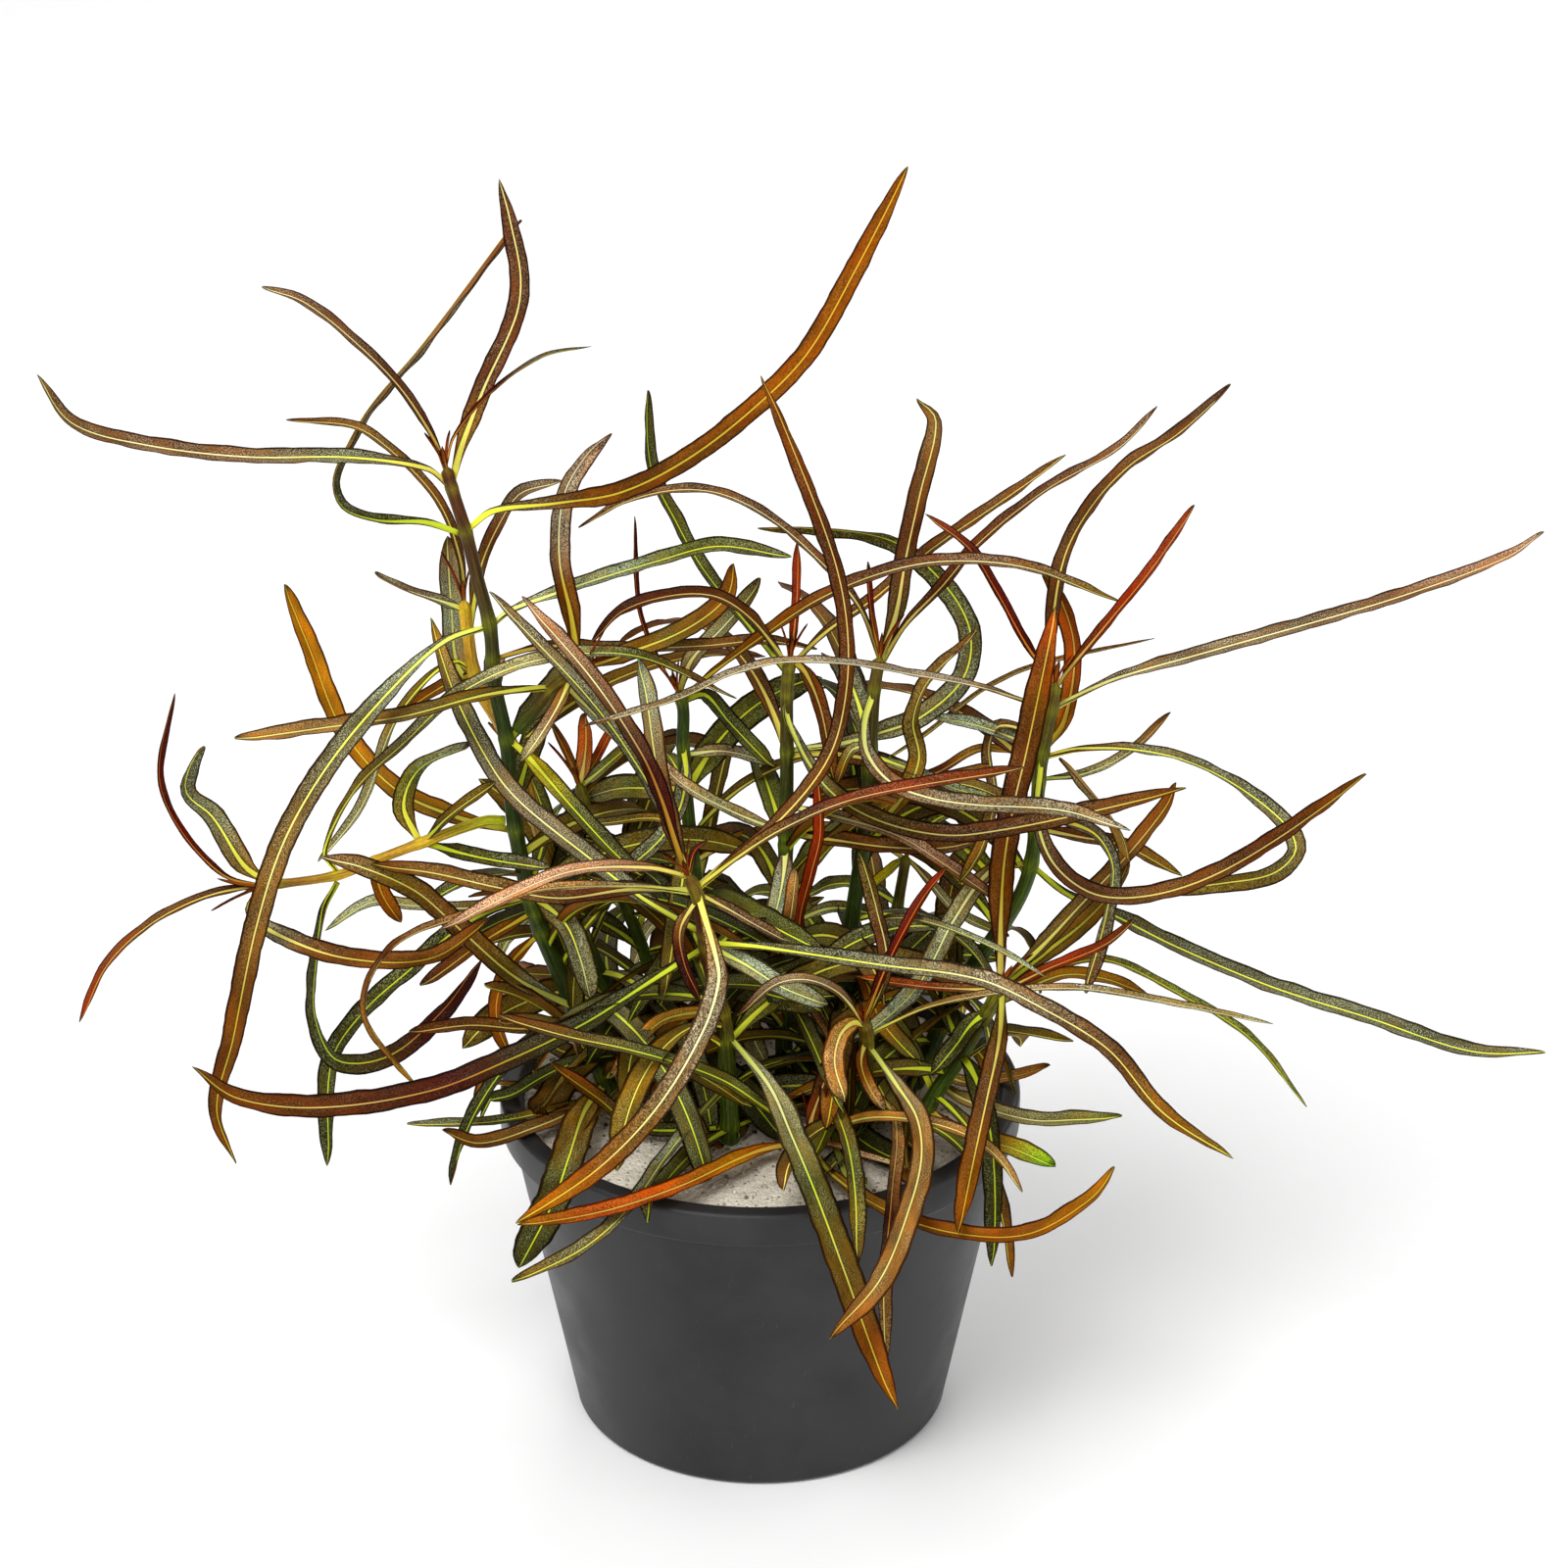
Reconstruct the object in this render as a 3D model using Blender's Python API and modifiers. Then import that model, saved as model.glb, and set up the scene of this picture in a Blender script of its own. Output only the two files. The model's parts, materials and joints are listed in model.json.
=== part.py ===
# A narrow-leaved aquarium plant growing in pale sand in a plain round black pot.
# Metres, +Z up. The origin is the middle of the pot's flat underside.
import math
from collections import namedtuple

import bpy
import bmesh
from mathutils import Vector

MM = 0.001
WELD = 0.01 * MM

# Pot: a plain turned pot with a rolled rim
POT_HEIGHT = 50.0 * MM
POT_RIM_RADIUS = 37.0 * MM
POT_RIM_HEIGHT = 5.0 * MM
POT_RIM_OVERHANG = 1.6 * MM
POT_RIM_THICKNESS = 3.0 * MM
POT_LIP = 0.6 * MM
POT_BASE_RADIUS = 27.0 * MM
POT_BASE_ROUND = 1.2 * MM
POT_WALL = 2.0 * MM
POT_FLOOR = 2.5 * MM
POT_FLOOR_ROUND = 1.0 * MM
POT_STEPS = 33

# Sand: fills the pot to a little under the rim, highest round the stems
SAND_LEVEL = 48.0 * MM
SAND_CROWN = 0.8 * MM
SAND_STEPS = 22
STEM_DEPTH = 9.0 * MM
GAP = 0.3 * MM
WALL_GAP = 0.36 * MM
POCKET_TOP = 4.0 * MM
POCKET_SCALE = 1.12

# Stems: tubes with a few more sections than their routes have points
STEM_STATIONS = 4
TUBE_RESOLUTION = 1

# Leaf section: a shallow triangle, the keel under the midrib. Sections stand closer where a leaf bends.
KEEL_DEPTH = 0.33 * MM
KEEL_SWELL = 0.22 * MM
LONGEST_STEP = 16.0 * MM
LARGEST_BEND = math.radians(26)
FEWEST_STEPS = 5
FINE_STEPS = 120
ROOT_REACH = 0.35
STALK_WIDTH = 0.26
STALK_END = 0.26
STALK_POWER = 1.3
TAPER_START = 0.62
TAPER_POWER = 2.3

# The plant's midribs are read as places in a square view of it. A place is a column and a row
# of that view, and its depth is the world Y in millimetres, less towards the viewer.
VIEW_SIZE = 1600
VIEW_SPAN = 216.0 * MM
VIEW_DISTANCE = 600.0 * MM
VIEW_TILT = math.radians(25)
VIEW_AIM = Vector((3.4 * MM, 0, 97.0 * MM))

Stem = namedtuple("Stem", "name foot_radius tip_radius parent route")
Leaf = namedtuple("Leaf", "name stem width turn depth route tone", defaults=(None,))

# Stems, foot to tip: column, row, depth. A stem with no parent stands in the sand.
STEMS = [
    Stem("stem_tall", 1.3, 0.8, None,
         ((628, 1132, -1), (606, 1075, 1), (581, 1016, 2), (545, 930, 3), (525, 840, 4), (517, 757, 5),
          (505, 700, 5), (500, 640, 6), (487, 590, 7), (475, 542, 8), (461, 498, 9), (455, 476, 9))),
    Stem("stem_left_shoot", 0.8, 0.6, "stem_tall",
         ((514, 838, 3), (494, 838, 2), (433, 859, 0), (383, 878, -1), (345, 893, -2), (270, 904, -4))),
    Stem("stem_upper_branch", 0.9, 0.7, "stem_tall",
         ((528, 745, 4), (545, 725, 4), (563, 702, 3), (590, 682, 2))),
    Stem("stem_behind_tall", 1.2, 0.8, None,
         ((655, 1112, 6), (615, 1000, 8), (570, 900, 10), (545, 830, 12), (530, 775, 13), (508, 735, 14),
          (490, 705, 14), (482, 678, 14), (478, 650, 14), (473, 612, 15))),
    Stem("stem_young_red", 1.1, 0.7, None,
         ((690, 1100, 10), (660, 980, 12), (615, 870, 13), (590, 798, 14))),
    Stem("stem_back_left", 1.2, 0.8, None,
         ((722, 1090, 13), (718, 960, 13), (705, 860, 12), (697, 760, 12), (697, 722, 12), (691, 704, 12))),
    Stem("stem_front", 1.4, 0.8, None,
         ((745, 1168, -12), (743, 1110, -13), (738, 1040, -15), (722, 975, -18), (712, 915, -20),
          (702, 893, -21))),
    Stem("stem_middle", 1.3, 0.8, None,
         ((800, 1100, 9), (800, 950, 8), (802, 850, 6), (803, 770, 5), (803, 708, 5), (806, 670, 5))),
    Stem("stem_middle_right", 1.3, 0.8, None,
         ((852, 1110, 6), (868, 950, 4), (882, 850, 2), (887, 790, 2), (892, 705, 2), (898, 670, 2))),
    Stem("stem_back_right", 1.1, 0.7, None,
         ((890, 1092, 12), (905, 990, 11), (925, 872, 12))),
    Stem("stem_right", 1.3, 0.8, None,
         ((932, 1112, 6), (985, 1000, 5), (1035, 925, 5), (1052, 882, 5), (1060, 800, 6), (1064, 768, 6),
          (1074, 722, 6), (1077, 697, 6))),
    Stem("stem_right_low", 1.3, 0.9, None,
         ((940, 1145, -5), (985, 1070, -6), (1012, 1025, -8), (1023, 1002, -8))),
    Stem("stem_front_right", 1.2, 0.9, None,
         ((884, 1150, -6), (884, 1100, -11), (884, 1055, -15), (881, 1041, -16))),
    Stem("stem_front_low", 1.3, 1.0, None,
         ((822, 1176, -15), (824, 1163, -16), (826, 1152, -16))),
]

# Long leaves, each its own piece. Width is in millimetres. Turn is how far the upper side tips from
# facing the viewer towards facing up, in degrees. Turns and depths are spread evenly to the tip.
LONG_LEAVES = [
    Leaf("leaf_far_left", "stem_tall", 2.6, (45, 35, 40), (6, 2, -4),
         ((461, 498), (437, 478), (360, 465), (250, 464), (150, 452), (75, 430), (39, 382)), "brown"),
    Leaf("leaf_arch_left", "stem_behind_tall", 1.9, (45, 45), (17, 19, 19),
         ((475, 620), (470, 567), (450, 513), (410, 467), (363, 434), (292, 428)), "brown"),
    Leaf("leaf_tall_upright", "stem_tall", 2.9, (25, 15), (12, 16, 18),
         ((461, 495), (470, 457), (492, 397), (525, 323), (530, 283), (520, 228), (509, 183)), "brown"),
    Leaf("leaf_bent_green", "stem_tall", 3.0, (30, 78, 84, 86), (14, 24, 30, 32),
         ((467, 543), (433, 532), (385, 528), (352, 515), (345, 490), (360, 455), (383, 417), (437, 353),
          (533, 225)), "dark"),
    Leaf("leaf_high_right", "stem_tall", 3.0, (35, 15, 15), (1, -2, -2, -1),
         ((477, 540), (503, 521), (567, 512), (633, 501), (700, 468), (767, 417), (823, 360), (873, 273),
          (926, 170)), "orange"),
    Leaf("leaf_branch_up", "stem_upper_branch", 3.0, (30, 20, 50), (6, 10),
         ((590, 680), (584, 630), (572, 570), (577, 507), (600, 467), (625, 443)), "brown"),
    Leaf("leaf_tall_green_right", "stem_tall", 2.8, (60, 50, 45, 40, 20), (9, 15, 18),
         ((503, 635), (520, 622), (590, 595), (667, 571), (733, 555), (808, 568)), "green"),
    Leaf("leaf_long_left_arch", "stem_tall", 3.4, (60, 20, 15, 40), (-7, -12, -13, -11),
         ((497, 638), (450, 655), (394, 706), (333, 781), (289, 858), (261, 944), (236, 1061), (219, 1133),
          (240, 1188)), "brown"),
    Leaf("leaf_branch_left", "stem_upper_branch", 3.0, (55, 40), (-4, -1, 4),
         ((562, 700), (494, 707), (411, 728), (328, 740), (239, 753)), "brown"),
    Leaf("leaf_back_orange", "stem_tall", 3.2, (20, 30), (12, 20, 22),
         ((525, 848), (467, 833), (403, 803), (350, 742), (317, 660), (291, 596)), "orange"),
    Leaf("leaf_pale_left", "stem_behind_tall", 2.2, (60, 45), (8, 6, 4),
         ((480, 682), (465, 674), (437, 690), (400, 737), (368, 820), (324, 879)), "pale"),
    Leaf("leaf_wide_arch", "stem_left_shoot", 2.4, (70, 40, 60), (-2, 1, 1, 1.5, 2),
         ((345, 893), (330, 870), (360, 805), (411, 756), (467, 706), (550, 671), (650, 667),
          (752, 712)), "pale"),
    Leaf("leaf_shoot_loop", "stem_left_shoot", 3.2, (45, 30, 42, 50), (-12, -18, -16),
         ((268, 904), (255, 930), (290, 955), (356, 976), (439, 975), (498, 936)), "pale"),
    Leaf("leaf_shoot_hook", "stem_left_shoot", 3.0, (70, 66, 58, 8, 30, 50), (0, 2, 1, -2),
         ((342, 900), (328, 928), (319, 983), (318, 1039), (342, 1083), (397, 1078), (453, 1033),
          (492, 981)), "brown"),
    Leaf("leaf_left_brown", "stem_tall", 3.4, (25, 25), (-8, -13, -14),
         ((590, 1030), (528, 997), (467, 944), (425, 908), (369, 883), (328, 874)), "brown"),
    Leaf("leaf_left_orange", "stem_front", 3.0, (45, 35), (-18, -16.5, -13),
         ((708, 908), (640, 906), (570, 914), (508, 903), (440, 888), (378, 881)), "orange"),
    Leaf("leaf_left_hook", "stem_front", 2.0, (65, 50, 58, 70, 60), (-23, -22, -20),
         ((706, 910), (650, 903), (550, 906), (497, 925), (411, 956), (376, 997), (372, 1042),
          (427, 1113)), "brown"),
    Leaf("leaf_low_left", "stem_front", 3.8, (45, 30, 30), (-22, -25, -28, -30),
         ((716, 968), (655, 1005), (594, 1043), (522, 1078), (439, 1111), (328, 1128), (244, 1119),
          (197, 1088)), "brown"),
    Leaf("leaf_up_left", "stem_front", 3.3, (40, 25, 30), (-10, -3, 7, 12),
         ((716, 952), (655, 914), (600, 872), (535, 820), (506, 786), (467, 711), (440, 630)), "brown"),
    Leaf("leaf_up_pink", "stem_front", 2.9, (40, 35), (-18, -13, -9),
         ((698, 889), (690, 860), (675, 810), (655, 765), (605, 690), (533, 608)), "brown"),
    Leaf("leaf_tall_down", "stem_tall", 3.0, (35, 35), (-3, -8),
         ((520, 755), (541, 773), (587, 824), (625, 865), (655, 893)), "dark"),
    Leaf("leaf_middle_tall", "stem_front", 2.5, (40, 30, 30), (-15, -8, -6, -6),
         ((710, 905), (740, 880), (800, 830), (845, 770), (862, 703), (862, 633), (847, 563), (797, 433),
          (776, 384)), "brown"),
    Leaf("leaf_front_red", "stem_front", 2.5, (55, 45), (-26, -24, -20),
         ((710, 907), (760, 867), (800, 842), (860, 816), (930, 800), (1046, 782)), "red"),
    Leaf("leaf_low_right", "stem_front", 3.0, (50, 35, 25), (-25, -30, -32, -32),
         ((717, 962), (780, 965), (900, 982), (1000, 997), (1067, 1028), (1133, 1070), (1187, 1133),
          (1259, 1182)), "pale"),
    Leaf("leaf_front_down", "stem_front", 3.4, (35, 15, 20), (-27, -34, -42, -46),
         ((711, 908), (729, 976), (732, 1001), (716, 1052), (670, 1129), (609, 1192), (526, 1248)), "orange"),
    Leaf("leaf_low_orange", "stem_front_low", 2.8, (40, 40), (-28, -40, -44),
         ((822, 1165), (770, 1174), (693, 1208), (617, 1233), (528, 1249)), "orange"),
    Leaf("leaf_low_grey", "stem_front", 2.8, (60, 40), (-27, -44, -50),
         ((741, 1108), (714, 1134), (676, 1180), (642, 1228), (594, 1271), (522, 1307)), "green"),
    Leaf("leaf_broad_dark", "stem_tall", 5.2, (25, 20), (-19, -34, -46),
         ((618, 1104), (596, 1132), (579, 1180), (563, 1226), (529, 1292)), "dark"),
    Leaf("leaf_hanging_front", "stem_front", 4.4, (50, 20, 20), (-26, -42, -56, -68),
         ((745, 1058), (787, 1108), (810, 1159), (833, 1215), (863, 1297), (900, 1400),
          (916, 1437)), "brown"),
    Leaf("leaf_hanging_curl", "stem_front_right", 3.5, (50, 20, 25), (-28, -42, -58, -66),
         ((886, 1066), (914, 1103), (937, 1139), (942, 1180), (930, 1231), (899, 1307),
          (847, 1366)), "orange"),
    Leaf("leaf_low_sweep", "stem_front_low", 2.9, (50, 40), (-37, -43, -43, -35),
         ((826, 1166), (850, 1197), (917, 1238), (985, 1257), (1050, 1256), (1110, 1222),
          (1137, 1190)), "brown"),
    Leaf("leaf_right_down", "stem_right_low", 3.6, (40, 30), (-22, -34, -45),
         ((1023, 1010), (1018, 1060), (1005, 1120), (992, 1180), (980, 1240), (977, 1258)), "orange"),
    Leaf("leaf_grey_twisted", "stem_right", 3.2, (45, 20, 60), (-1, -8, -14),
         ((1048, 881), (1010, 888), (973, 937), (945, 990), (920, 1022), (866, 1064)), "green"),
    Leaf("leaf_right_orange_up", "stem_right_low", 4.0, (30, 20), (-6, -3, 0),
         ((1021, 1000), (1020, 940), (1023, 880), (1033, 820), (1045, 770), (1060, 700),
          (1077, 618)), "orange"),
    Leaf("leaf_middle_sweep", "stem_middle", 3.2, (50, 35, 35), (-2, -9, -12, -12),
         ((803, 708), (805, 735), (836, 791), (866, 819), (912, 840), (968, 850), (1019, 845), (1086, 832),
          (1210, 803)), "brown"),
    Leaf("leaf_pink_sweep", "stem_middle_right", 2.8, (50, 35, 35), (-8, -16, -18, -16),
         ((892, 705), (883, 735), (886, 768), (910, 797), (948, 812), (994, 819), (1086, 825),
          (1154, 847)), "pale"),
    Leaf("leaf_right_loop", "stem_right", 2.7, (66, 58, 60, 16, 22, 40), (2, -4, -7, -6),
         ((1065, 771), (1100, 763), (1153, 762), (1207, 772), (1260, 797), (1312, 840), (1323, 868),
          (1300, 892), (1247, 903), (1168, 913)), "green"),
    Leaf("leaf_right_swoop", "stem_right", 3.0, (40, 35, 45), (-6, -11, -15, -18),
         ((1063, 772), (1060, 833), (1077, 880), (1117, 910), (1170, 912), (1233, 893), (1300, 855),
          (1393, 789)), "pale"),
    Leaf("leaf_long_right", "stem_right", 3.0, (45, 35), (2, -4, -8, -10),
         ((1052, 881), (1087, 910), (1140, 933), (1200, 963), (1300, 1005), (1400, 1037), (1500, 1070),
          (1577, 1073)), "green"),
    Leaf("leaf_far_right", "stem_right", 2.5, (60, 36, 40, 45), (9, 11, 12),
         ((1075, 722), (1093, 712), (1140, 690), (1233, 663), (1333, 635), (1433, 605), (1533, 568),
          (1575, 542)), "brown"),
    Leaf("leaf_right_tall", "stem_right", 2.9, (30, 50, 60), (10, 18, 24),
         ((1076, 700), (1072, 650), (1083, 570), (1110, 517), (1150, 473), (1200, 440),
          (1255, 391)), "brown"),
    Leaf("leaf_white_arch", "stem_right", 2.0, (60, 60), (-5, -16, -18, -19),
         ((1073, 724), (1000, 699), (933, 686), (867, 675), (800, 673), (747, 685), (693, 710),
          (595, 740)), "pale"),
    Leaf("leaf_long_bow", "stem_back_left", 2.5, (50, 45, 56), (2, 0, 2, 6),
         ((695, 712), (733, 680), (777, 647), (833, 610), (900, 582), (967, 570), (1050, 577),
          (1143, 613)), "brown"),
    Leaf("leaf_hoop_green", "stem_middle", 3.3, (50, 30, 12, 22, 62, 60), (7, 15, 23, 28),
         ((803, 766), (860, 757), (895, 747), (940, 730), (983, 690), (988, 640), (953, 587), (900, 552),
          (773, 540)), "dark"),
]

# Short leaves, grown in one piece with their stem
SHORT_LEAVES = [
    Leaf("tall_young_up", "stem_tall", 2.0, (50, 40), (12, 18),
         ((455, 478), (443, 447), (410, 395), (363, 347), (310, 306), (267, 292))),
    Leaf("young_thin", "stem_tall", 0.9, (50, 50), (7, 4),
         ((455, 476), (463, 445), (500, 400), (553, 363), (603, 353))),
    Leaf("behind_right_arch", "stem_behind_tall", 2.4, (40, 40), (15, 14),
         ((480, 640), (490, 575), (517, 517), (533, 500), (573, 490))),
    Leaf("behind_broad", "stem_behind_tall", 3.4, (20, 20), (17, 20),
         ((492, 708), (468, 680), (462, 623), (457, 547))),
    Leaf("behind_folded", "stem_behind_tall", 2.4, (25, 68, 72), (12, 10),
         ((474, 622), (450, 612), (417, 600), (383, 583))),
    Leaf("behind_orange", "stem_behind_tall", 2.4, (40, 40), (17, 19),
         ((482, 688), (455, 697), (405, 728))),
    Leaf("tall_back_left", "stem_tall", 2.2, (40, 40), (9, 10),
         ((541, 915), (480, 925), (417, 922), (378, 919), (331, 949))),
    Leaf("tall_brown_right", "stem_tall", 2.2, (45, 40), (8, 8, 8),
         ((503, 672), (560, 658), (640, 660), (717, 657), (783, 652), (834, 662))),
    Leaf("shoot_red_down", "stem_left_shoot", 1.9, (50, 50), (-8, -12),
         ((288, 901), (217, 911), (156, 939), (108, 983), (80, 1043))),
    Leaf("shoot_red_up", "stem_left_shoot", 1.5, (50, 50), (-3, 0),
         ((270, 904), (228, 892), (181, 839), (164, 789), (179, 708))),
    Leaf("shoot_twist", "stem_left_shoot", 3.4, (55, 15, 45, 66), (-2, 2),
         ((279, 902), (250, 883), (217, 831), (193, 808), (196, 786), (210, 762))),
    Leaf("shoot_olive", "stem_left_shoot", 2.2, (50, 40), (-2, -3),
         ((433, 858), (458, 831), (505, 797))),
    Leaf("shoot_pale", "stem_left_shoot", 3.2, (35, 20, 60, 66), (3, 5),
         ((428, 859), (411, 822), (428, 781), (480, 757))),
    Leaf("shoot_grey", "stem_left_shoot", 2.8, (40, 40), (-2, -3),
         ((436, 861), (494, 874), (560, 884))),
    Leaf("shoot_hanging", "stem_left_shoot", 2.8, (40, 30), (-4, -5),
         ((383, 880), (390, 910), (410, 941))),
    Leaf("tall_low_brown", "stem_tall", 2.6, (45, 40), (-4, -6),
         ((545, 930), (494, 958), (447, 992), (428, 1005))),
    Leaf("tall_low_broad", "stem_tall", 4.2, (35, 30), (-3, -6),
         ((545, 915), (577, 940), (594, 978), (604, 1019))),
    Leaf("tall_low_dark", "stem_tall", 3.2, (35, 35), (8, 6, 2),
         ((543, 915), (500, 928), (461, 950), (419, 986), (369, 1031), (336, 1083), (333, 1190))),
    Leaf("tall_low_left", "stem_tall", 2.6, (45, 40), (-5, -8),
         ((591, 1040), (540, 1048), (480, 1044), (417, 1052))),
    Leaf("tall_hanging", "stem_tall", 2.4, (40, 35), (-1, -2),
         ((553, 950), (518, 985), (505, 1022), (507, 1050), (519, 1078))),
    Leaf("tall_olive_low", "stem_tall", 2.8, (45, 40), (-14, -19),
         ((615, 1098), (591, 1127), (540, 1150), (489, 1164), (452, 1152))),
    Leaf("tall_thin_low", "stem_tall", 1.9, (50, 45), (-12, -13),
         ((622, 1116), (560, 1132), (500, 1143), (415, 1146))),
    Leaf("branch_ochre", "stem_upper_branch", 3.2, (35, 25), (7, 10),
         ((590, 682), (640, 665), (700, 640), (740, 608), (748, 575))),
    Leaf("branch_down", "stem_upper_branch", 2.4, (40, 40), (-1, -2),
         ((583, 690), (567, 722), (548, 752), (531, 776))),
    Leaf("branch_grey", "stem_upper_branch", 2.6, (40, 40), (5, 8),
         ((578, 700), (610, 730), (645, 765))),
    Leaf("young_red_up", "stem_young_red", 2.4, (30, 20, 55), (13, 12),
         ((592, 800), (597, 762), (595, 728))),
    Leaf("young_green_right", "stem_young_red", 2.2, (40, 40), (12, 10),
         ((593, 802), (620, 778), (646, 755))),
    Leaf("young_brown_left", "stem_young_red", 1.6, (40, 40), (14, 15),
         ((598, 815), (580, 770), (561, 733))),
    Leaf("young_small_red", "stem_young_red", 1.8, (40, 40), (15, 17),
         ((594, 800), (610, 770), (626, 738))),
    Leaf("back_olive_up", "stem_back_left", 3.0, (40, 35), (16, 20),
         ((693, 706), (705, 672), (735, 640), (765, 605), (775, 589))),
    Leaf("back_thin_red", "stem_back_left", 1.0, (45, 45), (16, 19),
         ((690, 704), (667, 663), (652, 617), (648, 527))),
    Leaf("back_green_right", "stem_back_left", 3.0, (45, 35), (9, 8),
         ((699, 714), (720, 708), (745, 735), (790, 782))),
    Leaf("back_dark_broad", "stem_back_left", 4.4, (35, 35), (14, 16),
         ((700, 805), (665, 803), (630, 803), (597, 812))),
    Leaf("back_yellow_left", "stem_back_left", 1.8, (45, 45), (10, 9),
         ((704, 850), (670, 834), (620, 838), (570, 842))),
    Leaf("back_front_down", "stem_back_left", 3.0, (40, 40), (4, 0, -4),
         ((697, 760), (699, 790), (690, 828), (665, 862), (610, 905))),
    Leaf("back_grey_right", "stem_back_left", 2.6, (45, 45), (14, 17),
         ((698, 770), (740, 765), (793, 778))),
    Leaf("front_upright", "stem_front", 3.2, (35, 35), (-16, -9, -4),
         ((702, 893), (688, 850), (676, 805), (668, 755), (661, 705), (652, 672))),
    Leaf("front_pink_left", "stem_front", 2.4, (45, 40), (-25, -28),
         ((701, 894), (660, 884), (587, 886), (522, 910), (449, 948))),
    Leaf("front_grey_back", "stem_front", 2.6, (40, 40), (-8, -2, 3),
         ((706, 902), (680, 830), (638, 758), (600, 708), (563, 668), (500, 603))),
    Leaf("front_grey_broad", "stem_front", 3.6, (45, 30), (-21, -20),
         ((722, 964), (760, 982), (800, 1006), (845, 1024))),
    Leaf("front_pink_right", "stem_front", 2.2, (45, 45), (-17, -12),
         ((714, 912), (745, 927), (770, 941), (806, 960))),
    Leaf("front_red_sprig", "stem_front", 1.0, (45, 45), (-19, -18),
         ((702, 893), (708, 868), (722, 857))),
    Leaf("front_orange_low", "stem_front", 2.4, (40, 35), (-12, -11),
         ((737, 1030), (680, 1038), (650, 1062), (622, 1100))),
    Leaf("front_brown_drop", "stem_front", 2.2, (40, 40), (-22, -21),
         ((713, 915), (693, 948), (697, 985), (714, 1022))),
    Leaf("middle_back_green", "stem_middle", 2.6, (50, 45, 50), (17, 24, 29),
         ((806, 690), (770, 643), (720, 580), (693, 533), (667, 477), (662, 398))),
    Leaf("middle_arch_left", "stem_middle", 2.4, (50, 45), (-4, -7, -7),
         ((805, 680), (770, 632), (733, 607), (687, 605), (633, 622), (603, 655))),
    Leaf("middle_right_up", "stem_middle", 2.4, (50, 45), (12, 17, 20),
         ((806, 680), (843, 643), (893, 607), (947, 560), (1020, 510), (1087, 463))),
    Leaf("middle_red_up", "stem_middle", 1.6, (40, 40), (7, 10),
         ((807, 672), (812, 610), (813, 552))),
    Leaf("middle_orange_down", "stem_middle", 2.6, (35, 35), (3, -1),
         ((806, 672), (822, 685), (840, 727), (852, 797))),
    Leaf("middle_brown_right", "stem_middle", 3.2, (45, 45), (-2, -3, 3),
         ((802, 850), (850, 855), (910, 862), (965, 862), (1015, 850))),
    Leaf("middle_pink_right", "stem_middle", 2.6, (45, 40), (-3, -6, -4),
         ((802, 822), (860, 833), (920, 852), (965, 880), (1032, 926))),
    Leaf("middle_pink_left", "stem_middle", 2.4, (45, 40), (2, 4),
         ((802, 850), (745, 825), (700, 800), (665, 768))),
    Leaf("middle_hanging_grey", "stem_middle", 3.2, (35, 30), (1, -3),
         ((802, 862), (798, 895), (790, 930), (776, 968))),
    Leaf("middle_pink_tip", "stem_middle", 2.4, (40, 35), (-4, -8),
         ((800, 1010), (790, 985), (803, 945), (811, 886))),
    Leaf("middle_red_long", "stem_middle", 2.2, (40, 40), (-2, -6, -8),
         ((800, 1030), (828, 985), (814, 945), (826, 890), (835, 850), (832, 783))),
    Leaf("middle_dark_low", "stem_middle", 3.6, (30, 25), (0, -6),
         ((800, 990), (830, 1020), (850, 1050), (872, 1090))),
    Leaf("middle_dark_low_left", "stem_middle", 3.6, (30, 25), (2, -4),
         ((800, 985), (775, 1010), (765, 1050), (782, 1090))),
    Leaf("middle_low_down", "stem_middle", 2.8, (40, 25), (-20, -40, -48),
         ((801, 1085), (835, 1100), (862, 1150), (874, 1210), (876, 1290))),
    Leaf("inner_thin_red", "stem_middle_right", 1.2, (45, 45), (3, 4),
         ((898, 670), (890, 627), (886, 573))),
    Leaf("inner_tall", "stem_middle_right", 3.2, (30, 30), (8, 13, 17),
         ((898, 676), (913, 627), (923, 567), (937, 503), (953, 430), (935, 407))),
    Leaf("inner_right_up", "stem_middle_right", 2.2, (50, 45, 55, 60), (5, 9, 12),
         ((899, 678), (923, 637), (960, 597), (1000, 550), (1067, 497), (1140, 455), (1180, 414))),
    Leaf("inner_arch_left", "stem_middle_right", 2.0, (50, 50), (6, 8, 8, 6),
         ((898, 672), (877, 617), (837, 570), (787, 527), (737, 502), (687, 498), (633, 512), (590, 538))),
    Leaf("inner_olive_up", "stem_middle_right", 3.0, (40, 25, 55, 62), (-3, 1, 5),
         ((881, 855), (918, 815), (936, 775), (929, 735), (945, 692), (996, 643))),
    Leaf("inner_green_right", "stem_middle_right", 1.9, (45, 45), (-3, -2),
         ((888, 770), (930, 784), (975, 803), (1020, 815))),
    Leaf("inner_thin_back", "stem_middle_right", 1.1, (45, 50), (16, 21, 24),
         ((888, 785), (945, 748), (1000, 705), (1055, 679), (1178, 651))),
    Leaf("inner_brown_back", "stem_middle_right", 1.8, (45, 45), (7, 13),
         ((887, 810), (955, 787), (1000, 763), (1040, 768))),
    Leaf("inner_olive_left", "stem_middle_right", 2.2, (45, 45), (0, -2),
         ((888, 760), (868, 765), (853, 798))),
    Leaf("inner_pale_front", "stem_middle_right", 1.4, (50, 50), (-12, -18, -20),
         ((868, 955), (905, 936), (950, 940), (1020, 968), (1068, 997))),
    Leaf("inner_dark_low", "stem_middle_right", 3.4, (30, 30), (-2, -8),
         ((867, 960), (885, 1000), (900, 1040), (940, 1085))),
    Leaf("back_right_dark", "stem_back_right", 2.0, (45, 45), (10, 8),
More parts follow.
